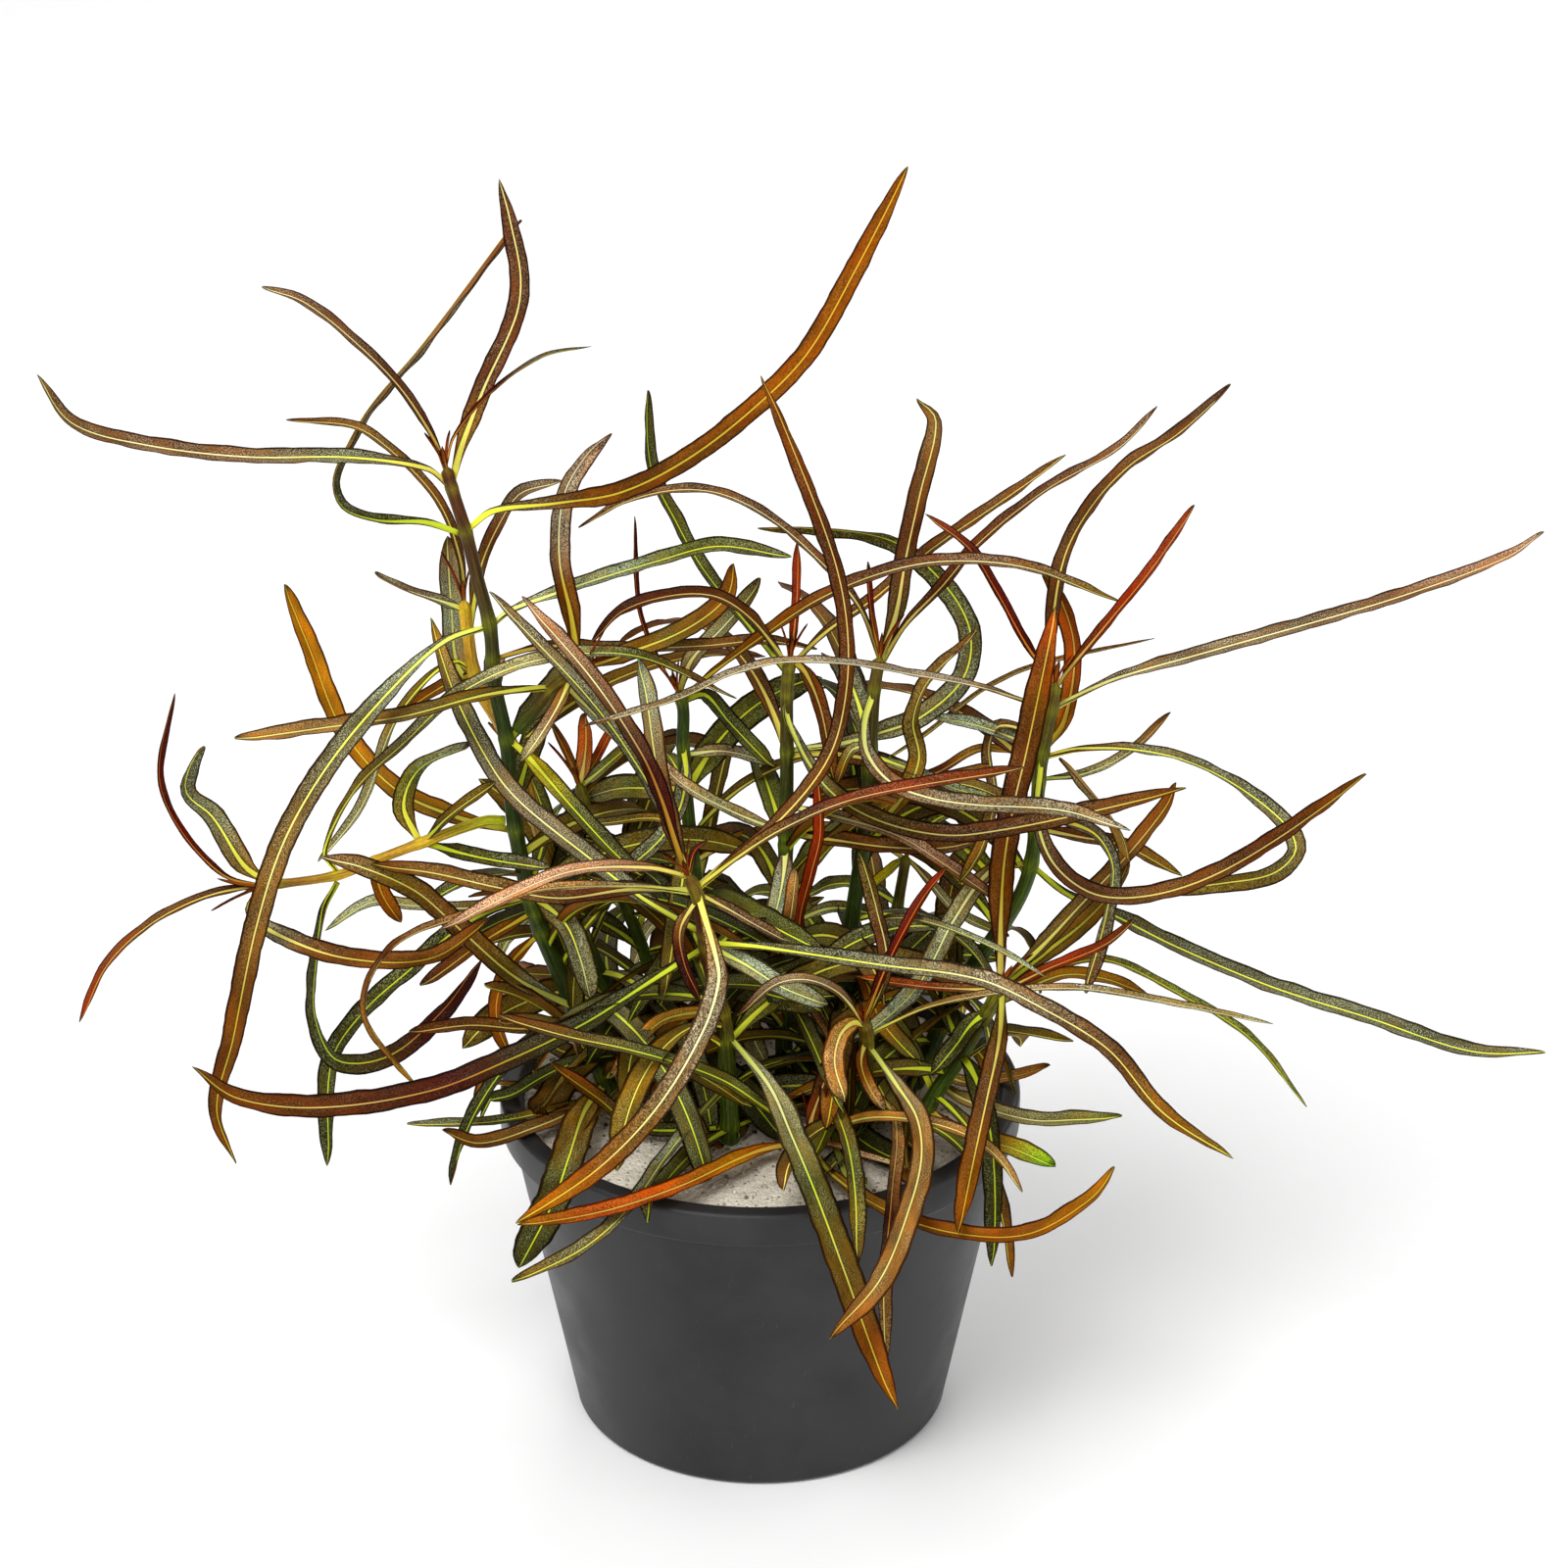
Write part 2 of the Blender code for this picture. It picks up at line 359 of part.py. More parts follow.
         ((925, 874), (950, 900), (978, 930), (1030, 955))),
    Leaf("back_right_yellow", "stem_back_right", 2.0, (45, 45), (14, 15),
         ((924, 874), (900, 893), (872, 918))),
    Leaf("back_right_up", "stem_back_right", 2.2, (40, 40), (16, 22),
         ((925, 872), (955, 835), (1005, 822), (1060, 835))),
    Leaf("back_right_left", "stem_back_right", 2.4, (40, 40), (18, 26),
         ((924, 876), (880, 850), (800, 845), (720, 862))),
    Leaf("behind_low", "stem_behind_tall", 2.6, (45, 45), (20, 27),
         ((594, 950), (560, 935), (522, 952), (502, 988))),
    Leaf("young_behind_low", "stem_young_red", 2.6, (45, 45), (22, 28),
         ((640, 930), (612, 908), (590, 927), (586, 975))),
    Leaf("back_behind_right", "stem_back_left", 2.6, (45, 45), (24, 32),
         ((707, 880), (742, 862), (790, 880), (828, 928))),
    Leaf("back_behind_left", "stem_back_left", 2.6, (45, 45), (24, 31),
         ((716, 940), (690, 928), (660, 948), (642, 990))),
    Leaf("middle_behind", "stem_middle", 2.4, (45, 45), (15, 26),
         ((801, 945), (850, 925), (905, 938), (945, 982))),
    Leaf("back_right_low", "stem_back_right", 2.2, (45, 45), (19, 28),
         ((905, 985), (938, 972), (972, 985), (996, 1015))),
    Leaf("back_right_behind", "stem_back_right", 2.6, (45, 45), (24, 33),
         ((916, 922), (885, 903), (850, 900), (815, 916))),
    Leaf("right_back_orange", "stem_right", 3.0, (35, 35), (10, 12),
         ((1066, 765), (1085, 735), (1094, 660), (1075, 600), (1063, 586))),
    Leaf("right_red_left", "stem_right", 1.8, (45, 45), (4, 2),
         ((1077, 698), (1050, 660), (1017, 600), (990, 558), (945, 524))),
    Leaf("right_red_right", "stem_right", 2.0, (45, 45), (4, 0),
         ((1077, 702), (1090, 683), (1127, 637), (1173, 580), (1218, 515))),
    Leaf("right_green_left", "stem_right", 2.6, (45, 45), (9, 11),
         ((1063, 768), (1030, 750), (985, 735), (950, 731))),
    Leaf("right_olive_loop", "stem_right", 2.8, (60, 60, 40), (9, -1, -7),
         ((1064, 766), (1040, 742), (1016, 740), (1006, 765), (1012, 810), (1000, 862), (978, 901))),
    Leaf("right_twist", "stem_right", 3.0, (40, 60, 35), (1, -5, -6),
         ((1056, 838), (1090, 838), (1122, 852), (1139, 885), (1133, 930), (1122, 972), (1108, 1014))),
    Leaf("right_brown_right", "stem_right", 2.6, (45, 40), (10, 12),
         ((1055, 845), (1100, 852), (1150, 862), (1207, 893))),
    Leaf("right_olive_back", "stem_right", 1.8, (45, 45), (12, 16),
         ((1061, 795), (1107, 788), (1153, 765), (1194, 726))),
    Leaf("right_low_green", "stem_right", 2.8, (35, 30), (4, 2),
         ((962, 1050), (985, 1060), (1005, 1080), (1010, 1103))),
    Leaf("right_low_grey", "stem_right", 2.8, (45, 40), (-11, -14, -16),
         ((942, 1095), (985, 1120), (1050, 1140), (1100, 1140), (1145, 1138))),
    Leaf("right_low_brown", "stem_right", 2.2, (45, 40), (1, -2),
         ((948, 1085), (985, 1103), (1033, 1097), (1071, 1086))),
    Leaf("low_ochre_up", "stem_right_low", 3.0, (40, 35), (-4, 4, 7),
         ((1023, 1001), (1057, 970), (1103, 920), (1147, 873), (1187, 823), (1199, 798))),
    Leaf("low_broad_up", "stem_right_low", 3.4, (35, 25, 70, 78), (0, 4, 3),
         ((1020, 1007), (1065, 972), (1105, 940), (1135, 905), (1147, 878), (1137, 847), (1080, 774))),
    Leaf("low_red_right", "stem_right_low", 2.0, (45, 45), (-11, -13),
         ((1017, 1014), (1067, 988), (1127, 962), (1158, 937))),
    Leaf("low_brown_right", "stem_right_low", 2.4, (45, 40), (-3, 0),
         ((1010, 1028), (1080, 994), (1125, 996), (1171, 1013))),
    Leaf("low_green_fold", "stem_right_low", 1.8, (50, 50), (3, 6, 6),
         ((1014, 1019), (1080, 986), (1130, 978), (1200, 1010), (1277, 1058), (1334, 1129))),
    Leaf("low_red_left", "stem_right_low", 1.9, (45, 45), (-9, -10),
         ((1020, 1010), (981, 1008), (942, 1005), (875, 996))),
    Leaf("low_dark_down", "stem_right_low", 3.2, (30, 30), (-9, -10),
         ((1010, 1030), (990, 1045), (975, 1065), (950, 1095))),
    Leaf("low_bright_right", "stem_right_low", 3.5, (45, 35), (-20, -27),
         ((948, 1132), (985, 1158), (1030, 1168), (1077, 1189))),
    Leaf("red_spear", "stem_front_right", 1.9, (45, 45), (-14, -9),
         ((882, 1043), (902, 988), (922, 947), (943, 911), (966, 884))),
    Leaf("red_arch", "stem_front_right", 2.0, (45, 45), (-23, -26, -24),
         ((881, 1044), (858, 1013), (825, 998), (790, 1003), (752, 1036))),
    Leaf("pink_drop", "stem_front_right", 3.4, (40, 30, 25), (-21, -28, -33),
         ((884, 1046), (870, 1043), (856, 1056), (850, 1085), (861, 1123))),
    Leaf("pale_right", "stem_front_right", 1.6, (50, 50), (-19, -21, -16, -10),
         ((885, 1056), (945, 1027), (1016, 1012), (1100, 1007), (1200, 1023), (1299, 1044))),
    Leaf("dark_spear", "stem_front_right", 2.6, (35, 35), (-9, -4),
         ((882, 1044), (903, 985), (893, 930), (876, 870))),
    Leaf("rusty_drop", "stem_front_right", 2.4, (40, 40), (-21, -24),
         ((883, 1062), (880, 1085), (888, 1108), (903, 1132))),
    Leaf("dark_drop", "stem_front_right", 2.4, (40, 30), (-34, -48, -58),
         ((885, 1105), (915, 1142), (912, 1218), (904, 1307), (905, 1388))),
    Leaf("sand_sweep_left", "stem_front_low", 2.6, (45, 40), (-22, -29, -31, -30),
         ((824, 1160), (783, 1130), (744, 1103), (700, 1085), (640, 1068), (579, 1055), (508, 1035))),
    Leaf("sand_sweep_right", "stem_front_low", 2.2, (45, 45), (-25, -28, -34),
         ((826, 1162), (879, 1140), (930, 1140), (985, 1155), (1020, 1180), (1044, 1216))),
    Leaf("sand_brown_up", "stem_front_low", 2.6, (35, 35), (-19, -21),
         ((825, 1158), (828, 1139), (838, 1108), (850, 1070))),
    Leaf("sand_red_thin", "stem_front_low", 1.2, (45, 45), (-22, -28),
         ((826, 1165), (853, 1168), (879, 1177), (927, 1191))),
    Leaf("sand_brown_left", "stem_front", 2.6, (40, 35), (-15, -15),
         ((743, 1150), (700, 1152), (650, 1148), (610, 1118), (563, 1085))),
]

LEAF_TONES = {
    "dark": (0.09, 0.11, 0.05), "green": (0.22, 0.25, 0.12), "brown": (0.21, 0.14, 0.07),
    "orange": (0.36, 0.17, 0.06), "red": (0.38, 0.10, 0.06), "pale": (0.40, 0.34, 0.26),
}
STEM_TONE = (0.10, 0.12, 0.03)
POT_TONE = (0.02, 0.02, 0.022)
SAND_TONE = (0.72, 0.66, 0.55)

VIEW_AHEAD = Vector((0, math.cos(VIEW_TILT), -math.sin(VIEW_TILT)))
VIEW_UP = Vector((0, math.sin(VIEW_TILT), math.cos(VIEW_TILT)))
VIEW_EYE = VIEW_AIM - VIEW_AHEAD * VIEW_DISTANCE


def view_ray(column, row):
    """The direction from the eye through a place of the view."""
    across = (column / VIEW_SIZE - 0.5) * VIEW_SPAN
    down = (row / VIEW_SIZE - 0.5) * VIEW_SPAN
    return VIEW_AHEAD * VIEW_DISTANCE + Vector((across, 0, 0)) - VIEW_UP * down


def at_depth(column, row, depth):
    ray = view_ray(column, row)
    return VIEW_EYE + ray * ((depth - VIEW_EYE.y) / ray.y)


def on_sand(column, row):
    ray = view_ray(column, row)
    return VIEW_EYE + ray * ((SAND_LEVEL - VIEW_EYE.z) / ray.z)


def smooth_value(keys, values, place):
    """A smooth curve through values that stand at rising keys, read at one place."""
    last = len(keys) - 1
    index = 0
    while index < last - 1 and place > keys[index + 1]:
        index += 1
    low, high = keys[index], keys[index + 1]
    span = high - low
    share = (place - low) / span

    def slope(number):
        before, after = max(number - 1, 0), min(number + 1, last)
        return (values[after] - values[before]) / (keys[after] - keys[before])

    start, end = values[index], values[index + 1]
    square, cube = share * share, share ** 3
    return (start * (2 * cube - 3 * square + 1) + slope(index) * span * (cube - 2 * square + share)
            + end * (3 * square - 2 * cube) + slope(index + 1) * span * (cube - square))


def even_value(values, share):
    """The same, for values that stand at equal steps from 0 to 1."""
    if len(values) == 1:
        return values[0]
    keys = [number / (len(values) - 1) for number in range(len(values))]
    return smooth_value(keys, values, share)


def running_shares(points):
    lengths = [0.0]
    for before, after in zip(points, points[1:]):
        lengths.append(lengths[-1] + (after - before).length)
    return [length / lengths[-1] for length in lengths]


def read_curve(points, shares):
    """Points of a smooth curve through a list of points, at shares of its length."""
    keys = running_shares(points)
    return [smooth_value(keys, points, share) for share in shares]


def stem_route(stem):
    """The stem's middle line. One that stands in the sand starts under its surface."""
    places = [at_depth(column, row, depth * MM) for column, row, depth in stem.route]
    if stem.parent is None:
        foot = on_sand(*stem.route[0][:2])
        places[0] = foot
        places.insert(0, foot - Vector((0, 0, STEM_DEPTH)))
    return places


def leaf_midrib(leaf, base_depth):
    """Many points along the leaf's midrib, from its base to its tip."""
    marks = [Vector((column, row, 0)) for column, row in leaf.route]
    depths = (base_depth / MM,) + leaf.depth
    shares = [number / FINE_STEPS for number in range(FINE_STEPS + 1)]
    line = read_curve(marks, shares)
    return [at_depth(mark.x, mark.y, even_value(depths, share) * MM) for mark, share in zip(line, shares)]


def leaf_stations(line):
    """The numbers of the midrib's points where the leaf gets a section: more of them where it bends."""
    effort = [0.0]
    for before, point, after in zip(line, line[1:], line[2:] + line[-1:]):
        bend = (point - before).angle(after - point, 0)
        effort.append(effort[-1] + (point - before).length / LONGEST_STEP + bend / LARGEST_BEND)
    steps = max(math.ceil(effort[-1]), FEWEST_STEPS)
    wanted = [effort[-1] * step / steps for step in range(steps)]
    return [sum(value < level for value in effort) for level in wanted] + [len(line) - 1]


def blade_width(share):
    """The blade's width at a share of its length, as a part of its full width."""
    stalk = STALK_WIDTH + (1 - STALK_WIDTH) * min(share / STALK_END, 1) ** STALK_POWER
    taper = max(share - TAPER_START, 0) / (1 - TAPER_START)
    return stalk * (1 - taper ** TAPER_POWER)


def tangents(points):
    last = len(points) - 1
    return [(points[min(i + 1, last)] - points[max(i - 1, 0)]).normalized() for i in range(last + 1)]


def leaf_rings(leaf, line, stations):
    """Three points for each station of the leaf: its two margins and its keel."""
    leaning = 1 if line[len(line) // 2].x > line[0].x else -1
    ahead_at = tangents(line)
    rings = []
    for number in stations:
        point, ahead, share = line[number], ahead_at[number], number / (len(line) - 1)
        to_eye = VIEW_EYE - point
        to_eye = (to_eye - ahead * to_eye.dot(ahead)).normalized()
        turn = math.radians(even_value(leaf.turn, share)) * leaning
        upper = to_eye * math.cos(turn) + to_eye.cross(ahead) * math.sin(turn)
        half = ahead.cross(upper) * (leaf.width * MM * blade_width(share) / 2)
        keel = point - upper * (KEEL_DEPTH + KEEL_SWELL * blade_width(share))
        rings.append((point - half, point + half, keel))
    return rings


def loft(name, rings, tip):
    """A closed mesh through rings of points, flat at the first and pointed at the tip."""
    shape = bmesh.new()
    loops = [[shape.verts.new(point) for point in ring] for ring in rings]
    end = shape.verts.new(tip)
    sides = len(loops[0])
    shape.faces.new(loops[0])
    for before, after in zip(loops, loops[1:]):
        for side in range(sides):
            other = (side + 1) % sides
            shape.faces.new((before[side], after[side], after[other], before[other]))
    for side in range(sides):
        shape.faces.new((loops[-1][side], end, loops[-1][(side + 1) % sides]))
    bmesh.ops.recalc_face_normals(shape, faces=shape.faces)
    mesh = bpy.data.meshes.new(name)
    shape.to_mesh(mesh)
    shape.free()
    return bpy.data.objects.new(name, mesh)


def nearest_on(route, target):
    """The point of a line of points that lies nearest to a target."""
    best = None
    for before, after in zip(route, route[1:]):
        along = after - before
        share = min(max((target - before).dot(along) / along.length_squared, 0), 1)
        point = before + along * share
        if best is None or (point - target).length < (best - target).length:
            best = point
    return best


def depth_at(stem_points, column, row):
    """The depth of a stem where the view shows a leaf leaving it."""
    best = None
    for point in stem_points:
        place = at_depth(column, row, point.y)
        distance = (place - point).length
        if best is None or distance < best[0]:
            best = (distance, point.y)
    return best[1]


def build_leaf(leaf, stem_points, stem_radius, apart):
    """A leaf that starts in its stem, or clear of it by the gap if it is a piece apart."""
    column, row = leaf.route[0]
    line = leaf_midrib(leaf, depth_at(stem_points, column, row))
    stem_middle = nearest_on(stem_points, line[0])
    if apart:
        clear = stem_radius + GAP + leaf.width * MM * STALK_WIDTH
        line = [point for point in line if (point - stem_middle).length > clear]
    else:
        line[0] = stem_middle - (line[1] - stem_middle).normalized() * (stem_radius * ROOT_REACH)
    rings = leaf_rings(leaf, line, leaf_stations(line))
    return loft(leaf.name, rings[:-1], line[-1])


def material(name, colour, roughness):
    surface = bpy.data.materials.new(name)
    surface.use_nodes = True
    shader = surface.node_tree.nodes["Principled BSDF"]
    shader.inputs["Base Color"].default_value = (*colour, 1)
    shader.inputs["Roughness"].default_value = roughness
    surface.diffuse_color = (*colour, 1)
    return surface


def new_collection(name):
    collection = bpy.data.collections.new(name)
    bpy.context.scene.collection.children.link(collection)
    return collection


def as_cutter(thing, cutters):
    thing.hide_render = True
    thing.display_type = 'WIRE'
    cutters.objects.link(thing)


def tube(name, route, radii):
    """A tube mesh along a route, made from a curve whose caps are welded."""
    curve = bpy.data.curves.new(name, 'CURVE')
    curve.dimensions = '3D'
    curve.bevel_depth = 1.0
    curve.bevel_resolution = TUBE_RESOLUTION
    curve.use_fill_caps = True
    spline = curve.splines.new('POLY')
    spline.points.add(len(route) - 1)
    for knot, point, radius in zip(spline.points, route, radii):
        knot.co = (*point, 1)
        knot.radius = radius
    guide = bpy.data.objects.new(name + "_route", curve)
    bpy.context.scene.collection.objects.link(guide)
    seen = guide.evaluated_get(bpy.context.evaluated_depsgraph_get())
    mesh = bpy.data.meshes.new_from_object(seen)
    shape = bmesh.new()
    shape.from_mesh(mesh)
    bmesh.ops.remove_doubles(shape, verts=shape.verts, dist=WELD)
    bmesh.ops.recalc_face_normals(shape, faces=shape.faces)
    shape.to_mesh(mesh)
    shape.free()
    bpy.data.objects.remove(guide)
    mesh.name = name
    return bpy.data.objects.new(name, mesh)


def stem_radii(stem, shares):
    return [(stem.foot_radius + (stem.tip_radius - stem.foot_radius) * share) * MM for share in shares]


def join_with(thing, other, operation):
    step = thing.modifiers.new(other.name, 'BOOLEAN')
    step.operation = operation
    step.solver = 'EXACT'
    step.use_self = operation == 'UNION'
    step.object = other


def turned(name, profile, steps):
    """A round shape from a profile of radius and height pairs, outer side first, top to bottom."""
    mesh = bpy.data.meshes.new(name)
    edges = [(number, number + 1) for number in range(len(profile) - 1)]
    mesh.from_pydata([(radius, 0, height) for radius, height in profile], edges, [])
    thing = bpy.data.objects.new(name, mesh)
    screw = thing.modifiers.new("Turn", 'SCREW')
    screw.steps = steps
    screw.render_steps = steps
    screw.use_merge_vertices = True
    screw.merge_threshold = WELD
    screw.use_smooth_shade = True
    return thing


def build_pot():
    rim, lip = POT_RIM_RADIUS, POT_LIP
    under_rim = POT_HEIGHT - POT_RIM_HEIGHT
    inner_top = rim - POT_RIM_THICKNESS
    inner_base = POT_BASE_RADIUS - POT_WALL
    outside = [
        (inner_top + lip, POT_HEIGHT), (rim - lip, POT_HEIGHT), (rim, POT_HEIGHT - lip),
        (rim, under_rim + lip), (rim - lip, under_rim), (rim - POT_RIM_OVERHANG, under_rim),
        (POT_BASE_RADIUS, POT_BASE_ROUND), (POT_BASE_RADIUS - POT_BASE_ROUND, 0), (0, 0)
    ]
    inside = [
        (0, POT_FLOOR), (inner_base - POT_FLOOR_ROUND, POT_FLOOR), (inner_base, POT_FLOOR + POT_FLOOR_ROUND),
        (inner_top, POT_HEIGHT - lip), (inner_top + lip, POT_HEIGHT)
    ]
    return turned("pot", outside + inside, POT_STEPS)


def sand_profile():
    inner_top = POT_RIM_RADIUS - POT_RIM_THICKNESS
    inner_base = POT_BASE_RADIUS - POT_WALL
    slope = (inner_top - inner_base) / (POT_HEIGHT - POT_FLOOR)
    edge = inner_top - (POT_HEIGHT - SAND_LEVEL) * slope - WALL_GAP
    foot = inner_base - WALL_GAP
    bottom = POT_FLOOR + GAP
    crown = [(0, 1.0), (0.35, 0.9), (0.7, 0.45), (1.0, 0.0)]
    top = [(edge * share, SAND_LEVEL + SAND_CROWN * rise) for share, rise in crown]
    return top + [(foot, bottom + POT_FLOOR_ROUND), (foot - POT_FLOOR_ROUND, bottom), (0, bottom)]


def build_sand(stem_lines, cutters):
    """The sand, with a pocket round each stem that stands in it."""
    sand = turned("sand", sand_profile(), SAND_STEPS)
    for stem, line in stem_lines.items():
        clear = sum(point.z < SAND_LEVEL + POCKET_TOP for point in line)
        buried = [line[0] - Vector((0, 0, GAP))] + line[1:clear + 1]
        radius = stem.foot_radius * MM * POCKET_SCALE + GAP
        pocket = tube(stem.name + "_pocket", buried, [radius] * len(buried))
        as_cutter(pocket, cutters)
        join_with(sand, pocket, 'DIFFERENCE')
    return sand


def build_stem(stem, leaves, cutters):
    """A stem with its short leaves grown on it, and the middle line the leaves leave from."""
    route = stem_route(stem)
    stations = STEM_STATIONS + len(stem.route)
    shares = [number / (stations - 1) for number in range(stations)]
    line = read_curve(route, shares)
    radii = stem_radii(stem, shares)
    thing = tube(stem.name, line, radii)
    fine = read_curve(route, [number / FINE_STEPS for number in range(FINE_STEPS + 1)])
    for leaf in leaves:
        blade = build_leaf(leaf, fine, stem.tip_radius * MM, False)
        as_cutter(blade, cutters)
        join_with(thing, blade, 'UNION')
    return thing, line, fine


def clear_scene():
    for thing in list(bpy.data.objects):
        bpy.data.objects.remove(thing)


def main():
    clear_scene()
    parts = new_collection("potted_aquarium_plant")
    cutters = new_collection("cutters")
    pot_look = material("black_plastic", POT_TONE, 0.55)
    sand_look = material("pale_sand", SAND_TONE, 0.95)
    stem_look = material("stem_green", STEM_TONE, 0.5)
    leaf_looks = {name: material("leaf_" + name, colour, 0.55) for name, colour in LEAF_TONES.items()}

    standing = {}
    fine_lines = {}
    for stem in STEMS:
        own = [leaf for leaf in SHORT_LEAVES if leaf.stem == stem.name]
        thing, line, fine = build_stem(stem, own, cutters)
        fine_lines[stem.name] = (fine, stem)
        if stem.parent is None:
            standing[stem] = line
        thing.data.materials.append(stem_look)
        parts.objects.link(thing)

    for leaf in LONG_LEAVES:
        fine, stem = fine_lines[leaf.stem]
        thing = build_leaf(leaf, fine, stem.foot_radius * MM, True)
        thing.data.materials.append(leaf_looks[leaf.tone])
        parts.objects.link(thing)

    pot = build_pot()
    pot.data.materials.append(pot_look)
    parts.objects.link(pot)
    sand = build_sand(standing, cutters)
    sand.data.materials.append(sand_look)
    parts.objects.link(sand)


main()
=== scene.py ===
import json
import math
from collections import namedtuple

import bpy
import numpy as np
from mathutils import Matrix, Vector

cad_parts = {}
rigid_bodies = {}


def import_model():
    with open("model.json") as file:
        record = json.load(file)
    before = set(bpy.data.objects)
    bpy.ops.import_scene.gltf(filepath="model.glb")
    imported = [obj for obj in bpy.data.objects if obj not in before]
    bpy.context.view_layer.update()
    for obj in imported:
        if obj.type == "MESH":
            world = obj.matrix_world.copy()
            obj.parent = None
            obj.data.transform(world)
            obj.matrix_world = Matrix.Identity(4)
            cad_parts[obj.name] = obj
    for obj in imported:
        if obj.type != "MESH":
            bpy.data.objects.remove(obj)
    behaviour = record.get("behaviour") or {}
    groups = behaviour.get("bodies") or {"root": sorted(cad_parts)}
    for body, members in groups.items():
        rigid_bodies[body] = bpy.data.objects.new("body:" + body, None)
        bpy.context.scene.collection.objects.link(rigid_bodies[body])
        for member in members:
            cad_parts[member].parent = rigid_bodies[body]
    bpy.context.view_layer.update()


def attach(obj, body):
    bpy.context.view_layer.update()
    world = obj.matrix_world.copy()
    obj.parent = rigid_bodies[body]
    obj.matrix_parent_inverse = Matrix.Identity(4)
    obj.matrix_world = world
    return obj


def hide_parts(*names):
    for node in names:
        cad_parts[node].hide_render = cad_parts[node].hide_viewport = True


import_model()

MM = 0.001

# The pot and the sand, as in the solids
POT_HEIGHT = 50.0
POT_RIM_RADIUS = 37.0
POT_RIM_HEIGHT = 5.0
POT_RIM_OVERHANG = 1.6
POT_RIM_THICKNESS = 3.0
POT_BASE_RADIUS = 27.0
POT_WALL = 2.0
POT_FLOOR = 2.5
SAND_LEVEL = 48.0
SAND_CROWN = 0.8
STEM_DEPTH = 9.0

# The leaf's outline, as in the solids
FINE_STEPS = 120
STALK_WIDTH = 0.26
STALK_END = 0.22
STALK_POWER = 1.3
TAPER_START = 0.62
TAPER_POWER = (2.2, 3.9)
TIP_ROUNDING = (1.0, 0.62)

# The view in which midribs are read: column, row, and depth as the world Y in millimetres
VIEW_SIZE = 1600
VIEW_SPAN = 216.0 * MM
VIEW_DISTANCE = 600.0 * MM
VIEW_TILT = math.radians(25)
VIEW_AIM = Vector((3.4 * MM, 0, 97.0 * MM))
VIEW_AHEAD = Vector((0, math.cos(VIEW_TILT), -math.sin(VIEW_TILT)))
VIEW_UP = Vector((0, math.sin(VIEW_TILT), math.cos(VIEW_TILT)))
VIEW_EYE = VIEW_AIM - VIEW_AHEAD * VIEW_DISTANCE
SENSOR = 36.0

# Fine leaves, in millimetres: the places of points along and across a blade, and its section
LEAF_STEP = 1.0
TIP_CLOSING = (0.6, 0.32, 0.14, 0.03, 0.0)
COLUMNS = (-1.0, -0.86, -0.62, -0.36, -0.14, 0.0, 0.14, 0.36, 0.62, 0.86, 1.0)
FULLNESS = (0.35, 1.0)
LEAST_HALF_WIDTH = 0.05
FULL_RELIEF_WIDTH = 3.0
FOLD_DEPTH = 0.55
FOLD_LIMIT = 0.6
FOLD_POWER = 1.4
STALK_FOLD = 0.10
STALK_THICK = 0.42
STALK_LENGTH = 7.0
MARGIN_THICK = 0.06
RIB_THICK = 0.16
RIB_THICK_REACH = 0.3
RIB_RADIUS = 0.15
RIB_NARROWING = 0.4
RIB_AT_STALK = 0.34
RIB_GROOVE = 0.05
WIDTH_WAVE = 0.05
WIDTH_WAVE_LENGTHS = (8, 4.5, 2.6)
MARGIN_WAVE = 0.16
MARGIN_WAVE_LENGTHS = (9, 6)

# The shades of a blade: dark at its tip, bright where its midrib leaves the stem, warm underneath
BLADE_SHADES = (0.85, 1.15)
TIP_SHADE = (44, 24, 10)
TIP_LENGTH = 1.3
TIP_SHARE = 0.85
TIP_RIB_SHARE = 0.8
STALK_SHADE = (205, 212, 34)
STALK_REACH = 10.0
STALK_SHARE = 0.6
UNDERSIDE = (140, 78, 20)
UNDERSIDE_SHARE = 0.5
UNDERSIDE_RIB = 0.7
UNDERSIDE_RIB_SHADE = 0.8
UNDERSIDE_GRAIN = 0.35

# Where a leaf or a stem stands in the pattern of its skin, by its number
PATTERN_SHIFT = 17.0
PATTERN_SHIFTS = 13
PATTERN_LAYER = 3.7
STEM_PATTERN_SHIFT = 31

# Fine stems, in millimetres
STEM_STEP = 0.8
STEM_SIDES = 20
NODE_SWELL = 0.16
NODE_LENGTH = 0.8
NODE_BRIGHTNESS = 0.3
FLUTES = 4
FLUTE_DEPTH = 0.05

# Young leaves at a stem's tip: each an angle round it, a length, a width and a lean
TUFT = ((0.0, 7.0, 0.9, 0.30), (180.0, 6.0, 0.8, 0.35), (90.0, 3.8, 0.6, 0.22), (270.0, 3.2, 0.6, 0.2))
TUFT_TONES = "red_dark red red_dark"
TUFT_POINTS = 14
TUFT_TURN = 25
TUFT_SIZES = (0.8, 1.2)
TUFT_SINK = 0.5
TUFT_BEND = 1.6

